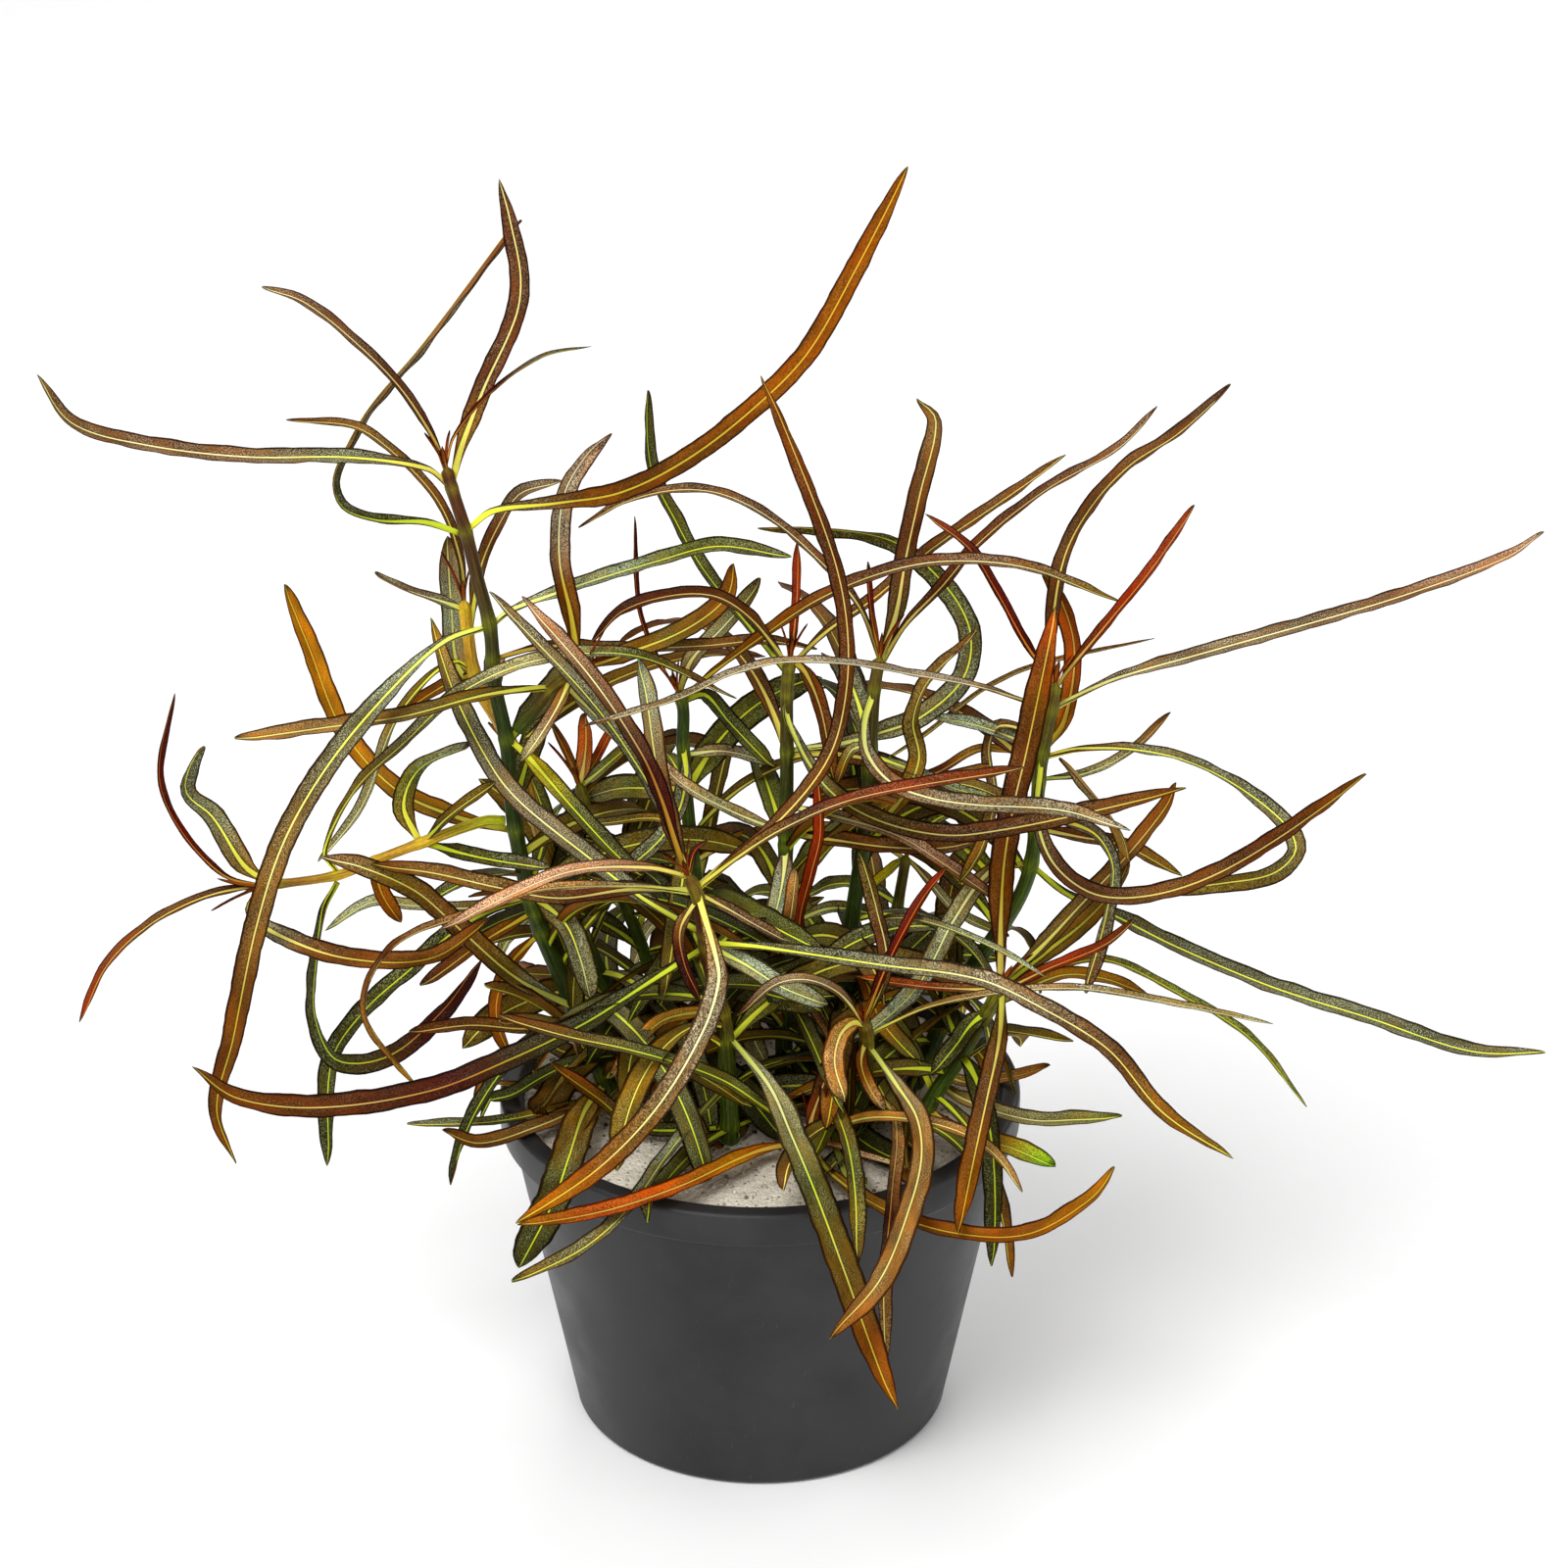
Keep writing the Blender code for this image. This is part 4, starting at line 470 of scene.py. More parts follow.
# The short leaves, in one piece with the stem that is named before them: the same values from the name on
SHORT_LEAVES = {
    "stem_tall": [
        ("tall_young_up", 2.0, (50, 40), (12, 18), "dark_red grey_red pink_brown", (455, 478), (443, 447),
         (410, 395), (363, 347), (310, 306), (267, 292)),
        ("young_thin", 0.9, (50, 50), (7, 4), "red_dark dark_red grey_green", (455, 476), (463, 445),
         (500, 400), (553, 363), (603, 353)),
        ("tall_back_left", 2.2, (40, 40), (9, 10), "grey_rust pale grey", (541, 915), (480, 925), (417, 922),
         (378, 919), (331, 949)),
        ("tall_brown_right", 2.2, (45, 40), (8, 8, 8), "dark_red grey_rust red_brown", (503, 672),
         (560, 658), (640, 660), (717, 657), (783, 652), (834, 662)),
        ("tall_low_brown", 2.6, (45, 40), (-4, -6), "rust rust red_brown", (545, 930), (494, 958),
         (447, 992), (428, 1005)),
        ("tall_low_broad", 4.2, (35, 30), (-3, -6), "olive grey_green pale", (545, 915), (577, 940),
         (594, 978), (604, 1019)),
        ("tall_low_dark", 3.2, (35, 35), (8, 6, 2), "green_dark green_dark green_deep", (543, 915),
         (500, 928), (461, 950), (419, 986), (369, 1031), (336, 1083), (333, 1190)),
        ("tall_low_left", 2.6, (45, 40), (-5, -8), "olive bronze red_brown", (591, 1040), (540, 1048),
         (480, 1044), (417, 1052)),
        ("tall_hanging", 2.4, (40, 35), (-1, -2), "rust orange orange", (553, 950), (518, 985), (505, 1022),
         (507, 1050), (519, 1078)),
        ("tall_olive_low", 2.8, (45, 40), (-14, -19), "orange grey_rust rust", (615, 1098), (591, 1127),
         (540, 1150), (489, 1164), (452, 1152)),
        ("tall_thin_low", 1.9, (50, 45), (-12, -13), "yellow_orange green_dark grey_green", (622, 1116),
         (560, 1132), (500, 1143), (415, 1146)),
    ],
    "stem_left_shoot": [
        ("shoot_red_down", 1.9, (50, 50), (-8, -12), "red_brown bronze red", (288, 901), (217, 911),
         (156, 939), (108, 983), (80, 1043)),
        ("shoot_red_up", 1.5, (50, 50), (-3, 0), "dark_red red_dark dark_red", (270, 904), (228, 892),
         (181, 839), (164, 789), (179, 708)),
        ("shoot_twist", 3.4, (55, 15, 45, 66), (-2, 2), "ochre grey_green grey_green", (279, 902),
         (250, 883), (217, 831), (193, 808), (196, 786), (210, 762)),
        ("shoot_olive", 2.2, (50, 40), (-2, -3), "green_deep olive olive", (433, 858), (458, 831),
         (505, 797)),
        ("shoot_pale", 3.2, (35, 20, 60, 66), (3, 5), "ochre green grey", (428, 859), (411, 822), (428, 781),
         (480, 757)),
        ("shoot_grey", 2.8, (40, 40), (-2, -3), "green_deep green_dark grey_green", (436, 861), (494, 874),
         (560, 884)),
        ("shoot_hanging", 2.8, (40, 30), (-4, -5), "orange", (383, 880), (390, 910), (410, 941)),
    ],
    "stem_upper_branch": [
        ("branch_ochre", 3.2, (35, 25), (7, 10), "amber olive orange", (590, 682), (640, 665), (700, 640),
         (740, 608), (748, 575)),
        ("branch_down", 2.4, (40, 40), (-1, -2), "ochre pink_brown pale", (583, 690), (567, 722), (548, 752),
         (531, 776)),
        ("branch_grey", 2.6, (40, 40), (5, 8), "grey_orange grey yellow_orange", (578, 700), (610, 730),
         (645, 765)),
    ],
    "stem_behind_tall": [
        ("behind_right_arch", 2.4, (40, 40), (15, 14), "olive red_brown pink_grey", (480, 640), (490, 575),
         (517, 517), (533, 500), (573, 490)),
        ("behind_broad", 3.4, (20, 20), (17, 20), "ochre grey grey_orange", (492, 708), (468, 680),
         (462, 623), (457, 547)),
        ("behind_folded", 2.4, (25, 68, 72), (12, 10), "grey pink_brown pale", (474, 622), (450, 612),
         (417, 600), (383, 583)),
        ("behind_orange", 2.4, (40, 40), (17, 19), "rust", (482, 688), (455, 697), (405, 728)),
        ("behind_low", 2.6, (45, 45), (20, 27), "green_dark pale green_dark", (594, 950), (560, 935),
         (522, 952), (502, 988)),
    ],
    "stem_young_red": [
        ("young_red_up", 2.4, (30, 20, 55), (13, 12), "pink_orange orange_red orange_red", (592, 800),
         (597, 762), (595, 728)),
        ("young_green_right", 2.2, (40, 40), (12, 10), "grey green ochre", (593, 802), (620, 778),
         (646, 755)),
        ("young_brown_left", 1.6, (40, 40), (14, 15), "pink_orange orange red_brown", (598, 815), (580, 770),
         (561, 733)),
        ("young_small_red", 1.8, (40, 40), (15, 17), "yellow_orange red orange_red", (594, 800), (610, 770),
         (626, 738)),
        ("young_behind_low", 2.6, (45, 45), (22, 28), "pale green_dark green_dark", (640, 930), (612, 908),
         (590, 927), (586, 975)),
    ],
    "stem_back_left": [
        ("back_olive_up", 3.0, (40, 35), (16, 20), "rust pale olive", (693, 706), (705, 672), (735, 640),
         (765, 605), (775, 589)),
        ("back_thin_red", 1.0, (45, 45), (16, 19), "red_dark red_dark dark_red", (690, 704), (667, 663),
         (652, 617), (648, 527)),
        ("back_green_right", 3.0, (45, 35), (9, 8), "green_deep green_deep green", (699, 714), (720, 708),
         (745, 735), (790, 782)),
        ("back_dark_broad", 4.4, (35, 35), (14, 16), "pink_orange green pale", (700, 805), (665, 803),
         (630, 803), (597, 812)),
        ("back_yellow_left", 1.8, (45, 45), (10, 9), "yellow_orange olive grey_green", (704, 850),
         (670, 834), (620, 838), (570, 842)),
        ("back_front_down", 3.0, (40, 40), (4, 0, -4), "grey_green grey_green green_dark", (697, 760),
         (699, 790), (690, 828), (665, 862), (610, 905)),
        ("back_grey_right", 2.6, (45, 45), (14, 17), "pale pink_grey grey", (698, 770), (740, 765),
         (793, 778)),
        ("back_behind_right", 2.6, (45, 45), (24, 32), "yellow_orange grey_orange pale", (707, 880),
         (742, 862), (790, 880), (828, 928)),
        ("back_behind_left", 2.6, (45, 45), (24, 31), "green pale pale", (716, 940), (690, 928), (660, 948),
         (642, 990)),
    ],
    "stem_front": [
        ("front_upright", 3.2, (35, 35), (-16, -9, -4), "red_brown grey_orange grey", (702, 893), (688, 850),
         (676, 805), (668, 755), (661, 705), (652, 672)),
        ("front_pink_left", 2.4, (45, 40), (-25, -28), "bronze pink pink", (701, 894), (660, 884),
         (587, 886), (522, 910), (449, 948)),
        ("front_grey_back", 2.6, (40, 40), (-8, -2, 3), "grey_green grey_green pink_grey", (706, 902),
         (680, 830), (638, 758), (600, 708), (563, 668), (500, 603)),
        ("front_grey_broad", 3.6, (45, 30), (-21, -20), "grey", (722, 964), (760, 982), (800, 1006),
         (845, 1024)),
        ("front_pink_right", 2.2, (45, 45), (-17, -12), "bronze pink_brown pink_brown", (714, 912),
         (745, 927), (770, 941), (806, 960)),
        ("front_red_sprig", 1.0, (45, 45), (-19, -18), "red_dark", (702, 893), (708, 868), (722, 857)),
        ("front_orange_low", 2.4, (40, 35), (-12, -11), "yellow_orange yellow_orange pink_orange",
         (737, 1030), (680, 1038), (650, 1062), (622, 1100)),
        ("front_brown_drop", 2.2, (40, 40), (-22, -21), "grey_orange dark_red dark_red", (713, 915),
         (693, 948), (697, 985), (714, 1022)),
        ("sand_brown_left", 2.6, (40, 35), (-15, -15), "green_dark green_deep orange", (743, 1150),
         (700, 1152), (650, 1148), (610, 1118), (563, 1085)),
    ],
    "stem_middle": [
        ("middle_back_green", 2.6, (50, 45, 50), (17, 24, 29), "green_dark green_dark green_deep",
         (806, 690), (770, 643), (720, 580), (693, 533), (667, 477), (662, 398)),
        ("middle_arch_left", 2.4, (50, 45), (-4, -7, -7), "bronze red_brown dark_red", (805, 680),
         (770, 632), (733, 607), (687, 605), (633, 622), (603, 655)),
        ("middle_right_up", 2.4, (50, 45), (12, 17, 20), "bronze", (806, 680), (843, 643), (893, 607),
         (947, 560), (1020, 510), (1087, 463)),
        ("middle_red_up", 1.6, (40, 40), (7, 10), "red_dark red red", (807, 672), (812, 610), (813, 552)),
        ("middle_orange_down", 2.6, (35, 35), (3, -1), "rust red_brown rust", (806, 672), (822, 685),
         (840, 727), (852, 797)),
        ("middle_brown_right", 3.2, (45, 45), (-2, -3, 3), "bronze", (802, 850), (850, 855), (910, 862),
         (965, 862), (1015, 850)),
        ("middle_pink_right", 2.6, (45, 40), (-3, -6, -4), "pale pink rust", (802, 822), (860, 833),
         (920, 852), (965, 880), (1032, 926)),
        ("middle_pink_left", 2.4, (45, 40), (2, 4), "pink_grey pale pink", (802, 850), (745, 825),
         (700, 800), (665, 768)),
        ("middle_hanging_grey", 3.2, (35, 30), (1, -3), "pink_brown grey grey", (802, 862), (798, 895),
         (790, 930), (776, 968)),
        ("middle_pink_tip", 2.4, (40, 35), (-4, -8), "olive bronze pink_orange", (800, 1010), (790, 985),
         (803, 945), (811, 886)),
        ("middle_red_long", 2.2, (40, 40), (-2, -6, -8), "red", (800, 1030), (828, 985), (814, 945),
         (826, 890), (835, 850), (832, 783)),
        ("middle_dark_low", 3.6, (30, 25), (0, -6), "grey_green pink_orange pink_orange", (800, 990),
         (830, 1020), (850, 1050), (872, 1090)),
        ("middle_dark_low_left", 3.6, (30, 25), (2, -4), "grey olive pale", (800, 985), (775, 1010),
         (765, 1050), (782, 1090)),
        ("middle_low_down", 2.8, (40, 25), (-20, -40, -48), "yellow_orange green_dark olive", (801, 1085),
         (835, 1100), (862, 1150), (874, 1210), (876, 1290)),
        ("middle_behind", 2.4, (45, 45), (15, 26), "pale green_dark pale", (801, 945), (850, 925),
         (905, 938), (945, 982)),
    ],
    "stem_middle_right": [
        ("inner_thin_red", 1.2, (45, 45), (3, 4), "orange_red red_dark red_dark", (898, 670), (890, 627),
         (886, 573)),
        ("inner_tall", 3.2, (30, 30), (8, 13, 17), "grey_rust red_brown grey_orange", (898, 676), (913, 627),
         (923, 567), (937, 503), (953, 430), (935, 407)),
        ("inner_right_up", 2.2, (50, 45, 55, 60), (5, 9, 12), "red_brown red_brown pink_brown", (899, 678),
         (923, 637), (960, 597), (1000, 550), (1067, 497), (1140, 455), (1180, 414)),
        ("inner_arch_left", 2.0, (50, 50), (6, 8, 8, 6), "red_brown pink_brown bronze", (898, 672),
         (877, 617), (837, 570), (787, 527), (737, 502), (687, 498), (633, 512), (590, 538)),
        ("inner_olive_up", 3.0, (40, 25, 55, 62), (-3, 1, 5), "yellow_orange olive grey_orange", (881, 855),
         (918, 815), (936, 775), (929, 735), (945, 692), (996, 643)),
        ("inner_green_right", 1.9, (45, 45), (-3, -2), "green grey green", (888, 770), (930, 784),
         (975, 803), (1020, 815)),
        ("inner_thin_back", 1.1, (45, 50), (16, 21, 24), "olive grey_rust red_brown", (888, 785), (945, 748),
         (1000, 705), (1055, 679), (1178, 651)),
        ("inner_brown_back", 1.8, (45, 45), (7, 13), "red_brown red_brown yellow_orange", (887, 810),
         (955, 787), (1000, 763), (1040, 768)),
        ("inner_olive_left", 2.2, (45, 45), (0, -2), "pale olive rust", (888, 760), (868, 765), (853, 798)),
        ("inner_pale_front", 1.4, (50, 50), (-12, -18, -20), "red_brown grey_green grey", (868, 955),
         (905, 936), (950, 940), (1020, 968), (1068, 997)),
        ("inner_dark_low", 3.4, (30, 30), (-2, -8), "dark_red orange green", (867, 960), (885, 1000),
         (900, 1040), (940, 1085)),
    ],
    "stem_back_right": [
        ("back_right_dark", 2.0, (45, 45), (10, 8), "dark_red pale green", (925, 874), (950, 900),
         (978, 930), (1030, 955)),
        ("back_right_yellow", 2.0, (45, 45), (14, 15), "yellow", (924, 874), (900, 893), (872, 918)),
        ("back_right_up", 2.2, (40, 40), (16, 22), "green", (925, 872), (955, 835), (1005, 822),
         (1060, 835)),
        ("back_right_left", 2.4, (40, 40), (18, 26), "bronze yellow_orange yellow_orange", (924, 876),
         (880, 850), (800, 845), (720, 862)),
        ("back_right_low", 2.2, (45, 45), (19, 28), "olive pink_orange dark_red", (905, 985), (938, 972),
         (972, 985), (996, 1015)),
        ("back_right_behind", 2.6, (45, 45), (24, 33), "green_dark green green", (916, 922), (885, 903),
         (850, 900), (815, 916)),
    ],
    "stem_right": [
        ("right_back_orange", 3.0, (35, 35), (10, 12), "amber orange_red rust", (1066, 765), (1085, 735),
         (1094, 660), (1075, 600), (1063, 586)),
        ("right_red_left", 1.8, (45, 45), (4, 2), "red_dark red_dark rose", (1077, 698), (1050, 660),
         (1017, 600), (990, 558), (945, 524)),
        ("right_red_right", 2.0, (45, 45), (4, 0), "red_brown red rose", (1077, 702), (1090, 683),
         (1127, 637), (1173, 580), (1218, 515)),
        ("right_green_left", 2.6, (45, 45), (9, 11), "red_brown grey grey", (1063, 768), (1030, 750),
         (985, 735), (950, 731)),
        ("right_olive_loop", 2.8, (60, 60, 40), (9, -1, -7), "bronze grey_orange ochre", (1064, 766),
         (1040, 742), (1016, 740), (1006, 765), (1012, 810), (1000, 862), (978, 901)),
        ("right_twist", 3.0, (40, 60, 35), (1, -5, -6), "dark_red grey_green bronze", (1056, 838),
         (1090, 838), (1122, 852), (1139, 885), (1133, 930), (1122, 972), (1108, 1014)),
        ("right_brown_right", 2.6, (45, 40), (10, 12), "red_brown bronze ochre", (1055, 845), (1100, 852),
         (1150, 862), (1207, 893)),
        ("right_olive_back", 1.8, (45, 45), (12, 16), "green_deep pale orange", (1061, 795), (1107, 788),
         (1153, 765), (1194, 726)),
        ("right_low_green", 2.8, (35, 30), (4, 2), "green_deep green_deep ochre", (962, 1050), (985, 1060),
         (1005, 1080), (1010, 1103)),
        ("right_low_grey", 2.8, (45, 40), (-11, -14, -16), "yellow_orange pale green", (942, 1095),
         (985, 1120), (1050, 1140), (1100, 1140), (1145, 1138)),
        ("right_low_brown", 2.2, (45, 40), (1, -2), "green pink_orange orange", (948, 1085), (985, 1103),
         (1033, 1097), (1071, 1086)),
    ],
    "stem_right_low": [
        ("low_ochre_up", 3.0, (40, 35), (-4, 4, 7), "olive grey_rust orange", (1023, 1001), (1057, 970),
         (1103, 920), (1147, 873), (1187, 823), (1199, 798)),
        ("low_broad_up", 3.4, (35, 25, 70, 78), (0, 4, 3), "green yellow_orange pale", (1020, 1007),
         (1065, 972), (1105, 940), (1135, 905), (1147, 878), (1137, 847), (1080, 774)),
        ("low_red_right", 2.0, (45, 45), (-11, -13), "red_brown red red_brown", (1017, 1014), (1067, 988),
         (1127, 962), (1158, 937)),
        ("low_brown_right", 2.4, (45, 40), (-3, 0), "grey_red ochre rust", (1010, 1028), (1080, 994),
         (1125, 996), (1171, 1013)),
        ("low_green_fold", 1.8, (50, 50), (3, 6, 6), "rust green green", (1014, 1019), (1080, 986),
         (1130, 978), (1200, 1010), (1277, 1058), (1334, 1129)),
        ("low_red_left", 1.9, (45, 45), (-9, -10), "grey_rust rose orange_red", (1020, 1010), (981, 1008),
         (942, 1005), (875, 996)),
        ("low_dark_down", 3.2, (30, 30), (-9, -10), "green_dark green_deep green_dark", (1010, 1030),
         (990, 1045), (975, 1065), (950, 1095)),
        ("low_bright_right", 3.5, (45, 35), (-20, -27), "orange_red yellow_orange green_bright", (948, 1132),
         (985, 1158), (1030, 1168), (1077, 1189)),
    ],
    "stem_front_right": [
        ("red_spear", 1.9, (45, 45), (-14, -9), "dark_red red_dark red", (882, 1043), (902, 988), (922, 947),
         (943, 911), (966, 884)),
        ("red_arch", 2.0, (45, 45), (-23, -26, -24), "red_brown pink_grey red_brown", (881, 1044),
         (858, 1013), (825, 998), (790, 1003), (752, 1036)),
        ("pink_drop", 3.4, (40, 30, 25), (-21, -28, -33), "yellow_orange pink_orange grey_rust", (884, 1046),
         (870, 1043), (856, 1056), (850, 1085), (861, 1123)),
        ("pale_right", 1.6, (50, 50), (-19, -21, -16, -10), "ochre pink_grey pale", (885, 1056), (945, 1027),
         (1016, 1012), (1100, 1007), (1200, 1023), (1299, 1044)),
        ("dark_spear", 2.6, (35, 35), (-9, -4), "olive grey_red olive", (882, 1044), (903, 985), (893, 930),
         (876, 870)),
        ("rusty_drop", 2.4, (40, 40), (-21, -24), "red_brown rust pink_orange", (883, 1062), (880, 1085),
         (888, 1108), (903, 1132)),
        ("dark_drop", 2.4, (40, 30), (-34, -48, -58), "pink_orange dark_red grey_orange", (885, 1105),
         (915, 1142), (912, 1218), (904, 1307), (905, 1388)),
    ],
    "stem_front_low": [
        ("sand_sweep_left", 2.6, (45, 40), (-22, -29, -31, -30), "green green_dark red_brown", (824, 1160),
         (783, 1130), (744, 1103), (700, 1085), (640, 1068), (579, 1055), (508, 1035)),
        ("sand_sweep_right", 2.2, (45, 45), (-25, -28, -34), "yellow_orange grey_orange grey_orange",
         (826, 1162), (879, 1140), (930, 1140), (985, 1155), (1020, 1180), (1044, 1216)),
        ("sand_brown_up", 2.6, (35, 35), (-19, -21), "rose red_brown dark_red", (825, 1158), (828, 1139),
         (838, 1108), (850, 1070)),
        ("sand_red_thin", 1.2, (45, 45), (-22, -28), "orange_red pink pale", (826, 1165), (853, 1168),
         (879, 1177), (927, 1191)),
    ],
}

def with_route(kind, row):
    """A row as a named tuple. The values past its other fields are the route."""
    last = len(kind._fields) - 1
    return kind(*row[:last], row[last:])


def view_ray(column, row):
    """The direction from the eye through a place of the view."""
    across = (column / VIEW_SIZE - 0.5) * VIEW_SPAN
    down = (row / VIEW_SIZE - 0.5) * VIEW_SPAN
    return VIEW_AHEAD * VIEW_DISTANCE + Vector((across, 0, 0)) - VIEW_UP * down


def at_depth(column, row, depth):
    ray = view_ray(column, row)
    return VIEW_EYE + ray * ((depth - VIEW_EYE.y) / ray.y)


def on_sand(column, row):
    ray = view_ray(column, row)
    return VIEW_EYE + ray * ((SAND_LEVEL * MM - VIEW_EYE.z) / ray.z)


def smooth_value(keys, values, place):
    """A smooth curve through values that stand at rising keys, read at one place."""
    last = len(keys) - 1
    index = 0
    while index < last - 1 and place > keys[index + 1]:
        index += 1
    low, high = keys[index], keys[index + 1]
    span = high - low
    share = (place - low) / span

    def slope(number):
        before, after = max(number - 1, 0), min(number + 1, last)
        return (values[after] - values[before]) / (keys[after] - keys[before])

    start, end = values[index], values[index + 1]
    square, cube = share * share, share ** 3
    return (start * (2 * cube - 3 * square + 1) + slope(index) * span * (cube - 2 * square + share)
            + end * (3 * square - 2 * cube) + slope(index + 1) * span * (cube - square))


def even_value(values, share):
    """The same, for values that stand at equal steps from 0 to 1."""
    if len(values) == 1:
        return values[0]
    return smooth_value(even_shares(len(values) - 1), values, share)


def even_shares(steps):
    return [number / steps for number in range(steps + 1)]


def leaf_shares(steps):
    """Even shares of a leaf's length, with a few close ones where its tip rounds off."""
    return even_shares(steps)[:-1] + [1 - part / steps for part in TIP_CLOSING]


def running_shares(points):
    lengths = [0.0]
    for before, after in zip(points, points[1:]):
        lengths.append(lengths[-1] + (after - before).length)
    return [length / lengths[-1] for length in lengths]


def read_curve(points, shares):
    """Points of a smooth curve through a list of points, at shares of its length."""
    keys = running_shares(points)
    return [smooth_value(keys, points, share) for share in shares]


def stem_route(stem):
    """The stem's middle line. One that stands in the sand starts under its surface."""
    places = [at_depth(column, row, depth * MM) for column, row, depth in stem.route]
    if stem.parent is None:
        foot = on_sand(*stem.route[0][:2])
        places[0] = foot
        places.insert(0, foot - Vector((0, 0, STEM_DEPTH * MM)))
    return places


def leaf_midrib(leaf, base_depth, shares):
    marks = [Vector((column, row, 0)) for column, row in leaf.route]
    depths = (base_depth / MM,) + leaf.depth
    return [at_depth(mark.x, mark.y, even_value(depths, share) * MM)
            for share, mark in zip(shares, read_curve(marks, shares))]


def depth_at(stem_points, column, row):
    """The depth of a stem where the view shows a leaf leaving it."""
    return min(stem_points, key=lambda point: (at_depth(column, row, point.y) - point).length).y


def in_mm(points):
    return np.array([tuple(point) for point in points]) / MM


def running_length(line):
    return np.concatenate(([0.0], np.cumsum(np.linalg.norm(np.diff(line, axis=0), axis=1))))


def unit(rows):
    return rows / np.linalg.norm(rows, axis=-1, keepdims=True)


def headings(line):
    """The direction of a line at each of its points."""
    return unit(np.gradient(line, axis=0))


def across_line(rows, ahead):
    """The part of each row that is square to the line, as a direction."""
    return unit(rows - ahead * (rows * ahead).sum(1, keepdims=True))


def rolled(rows, others, angles):
    """Directions turned by angles, given in degrees, towards the others."""
    turn = np.radians(angles)[:, None]
    return rows * np.cos(turn) + others * np.sin(turn)


def linear(tone):
    """A colour from 0 to 255 as the light that it stands for."""
    shown = np.asarray(tone, float) / 255
    return np.where(shown <= 0.04045, shown / 12.92, ((shown + 0.055) / 1.055) ** 2.4)


def spread(values, shares):
    """Values spread evenly over the shares of a length."""
    return np.interp(shares, np.linspace(0, 1, len(values)), values)


def spread_tones(tones, shares):
    """The same for colours, as the light that they stand for."""
    return np.stack([spread(column, shares) for column in linear(tones).T], -1)


def waves(rng, along, lengths, height):
    """A sum of slow waves along a length, each about one of the given lengths long."""
    total = np.zeros(len(along))
    for length in lengths:
        turn = rng.uniform(0, 2 * math.pi)
        total += np.sin(along * (2 * math.pi / (length * rng.uniform(0.85, 1.15))) + turn)
    return total * height / len(lengths)


def linked(name, data):
    """A new object in the scene."""
    thing = bpy.data.objects.new(name, data)
    bpy.context.scene.collection.objects.link(thing)
    return thing


class Form:
    """A mesh in the making: its points in millimetres, and what its looks read at each of them."""

    KINDS = {"shade": "FLOAT_COLOR", "rib_shade": "FLOAT_COLOR", "place": "FLOAT_VECTOR",
             "traits": "FLOAT_VECTOR"}

    def __init__(self):
        self.points, self.faces, self.slots, self.count = [], [], [], 0
        self.values = {kind: [] for kind in self.KINDS}

    def add(self, points, faces, slot, values):
        """Points and faces with one look. A value that isn't given is 0."""
        total = len(points)
        self.points.append(points)
        self.faces += faces
        self.slots += [slot] * len(faces)
        self.count += total
        for kind, rows in self.values.items():
            rows.append(np.broadcast_to(values.get(kind, 0.0), (total, 3)))

    def add_rings(self, rings, slot, **values):
        """Closed rings of points, one after the other, with a face over each end."""
        steps, around = rings.shape[:2]
        number = self.count + np.arange(steps * around).reshape(steps, around)
        before, after = number[:-1], number[1:]
        sides = np.stack((before, np.roll(before, -1, 1), np.roll(after, -1, 1), after), -1)
        faces = sides.reshape(-1, 4).tolist() + [number[0][::-1].tolist(), number[-1].tolist()]
        self.add(rings.reshape(-1, 3), faces, slot,
                 {kind: np.reshape(rows, (-1, 3)) for kind, rows in values.items()})

    def finished(self, name, looks):
        mesh = bpy.data.meshes.new(name)
        mesh.from_pydata((np.concatenate(self.points) * MM).tolist(), [], self.faces)
        mesh.polygons.foreach_set("use_smooth", [True] * len(self.faces))
        mesh.polygons.foreach_set("material_index", self.slots)
        for kind, rows in self.values.items():
            data = mesh.attributes.new(kind, self.KINDS[kind], 'POINT').data
            rows = np.concatenate(rows)
            if self.KINDS[kind] == "FLOAT_COLOR":
                data.foreach_set("color", np.concatenate((rows, np.ones((len(rows), 1))), 1).ravel())
            else:
                data.foreach_set("vector", rows.ravel())
        for look in looks:
            mesh.materials.append(look)
        mesh.update()
        return linked(name, mesh)


def blade_width(share, fullness):
    """The width at a share of the length, as a part of the full one: 0 ends in a point, 1 is round."""
    stalk = STALK_WIDTH + (1 - STALK_WIDTH) * np.minimum(share / STALK_END, 1) ** STALK_POWER
    taper = np.maximum(share - TAPER_START, 0) / (1 - TAPER_START)
    power, rounding = (np.interp(fullness, (0, 1), ends) for ends in (TAPER_POWER, TIP_ROUNDING))
    return stalk * (1 - taper ** power) ** rounding


def facing(line, shares, turns):
    """The direction of the upper side along a leaf, tipped from the viewer towards up."""
    leaning = 1 if line[len(line) // 2, 0] > line[0, 0] else -1
    ahead = headings(line)
    to_eye = across_line(np.array(VIEW_EYE) / MM - line, ahead)
    angles = np.array([even_value(turns, share) for share in shares]) * leaning
    return rolled(to_eye, np.cross(to_eye, ahead), angles)


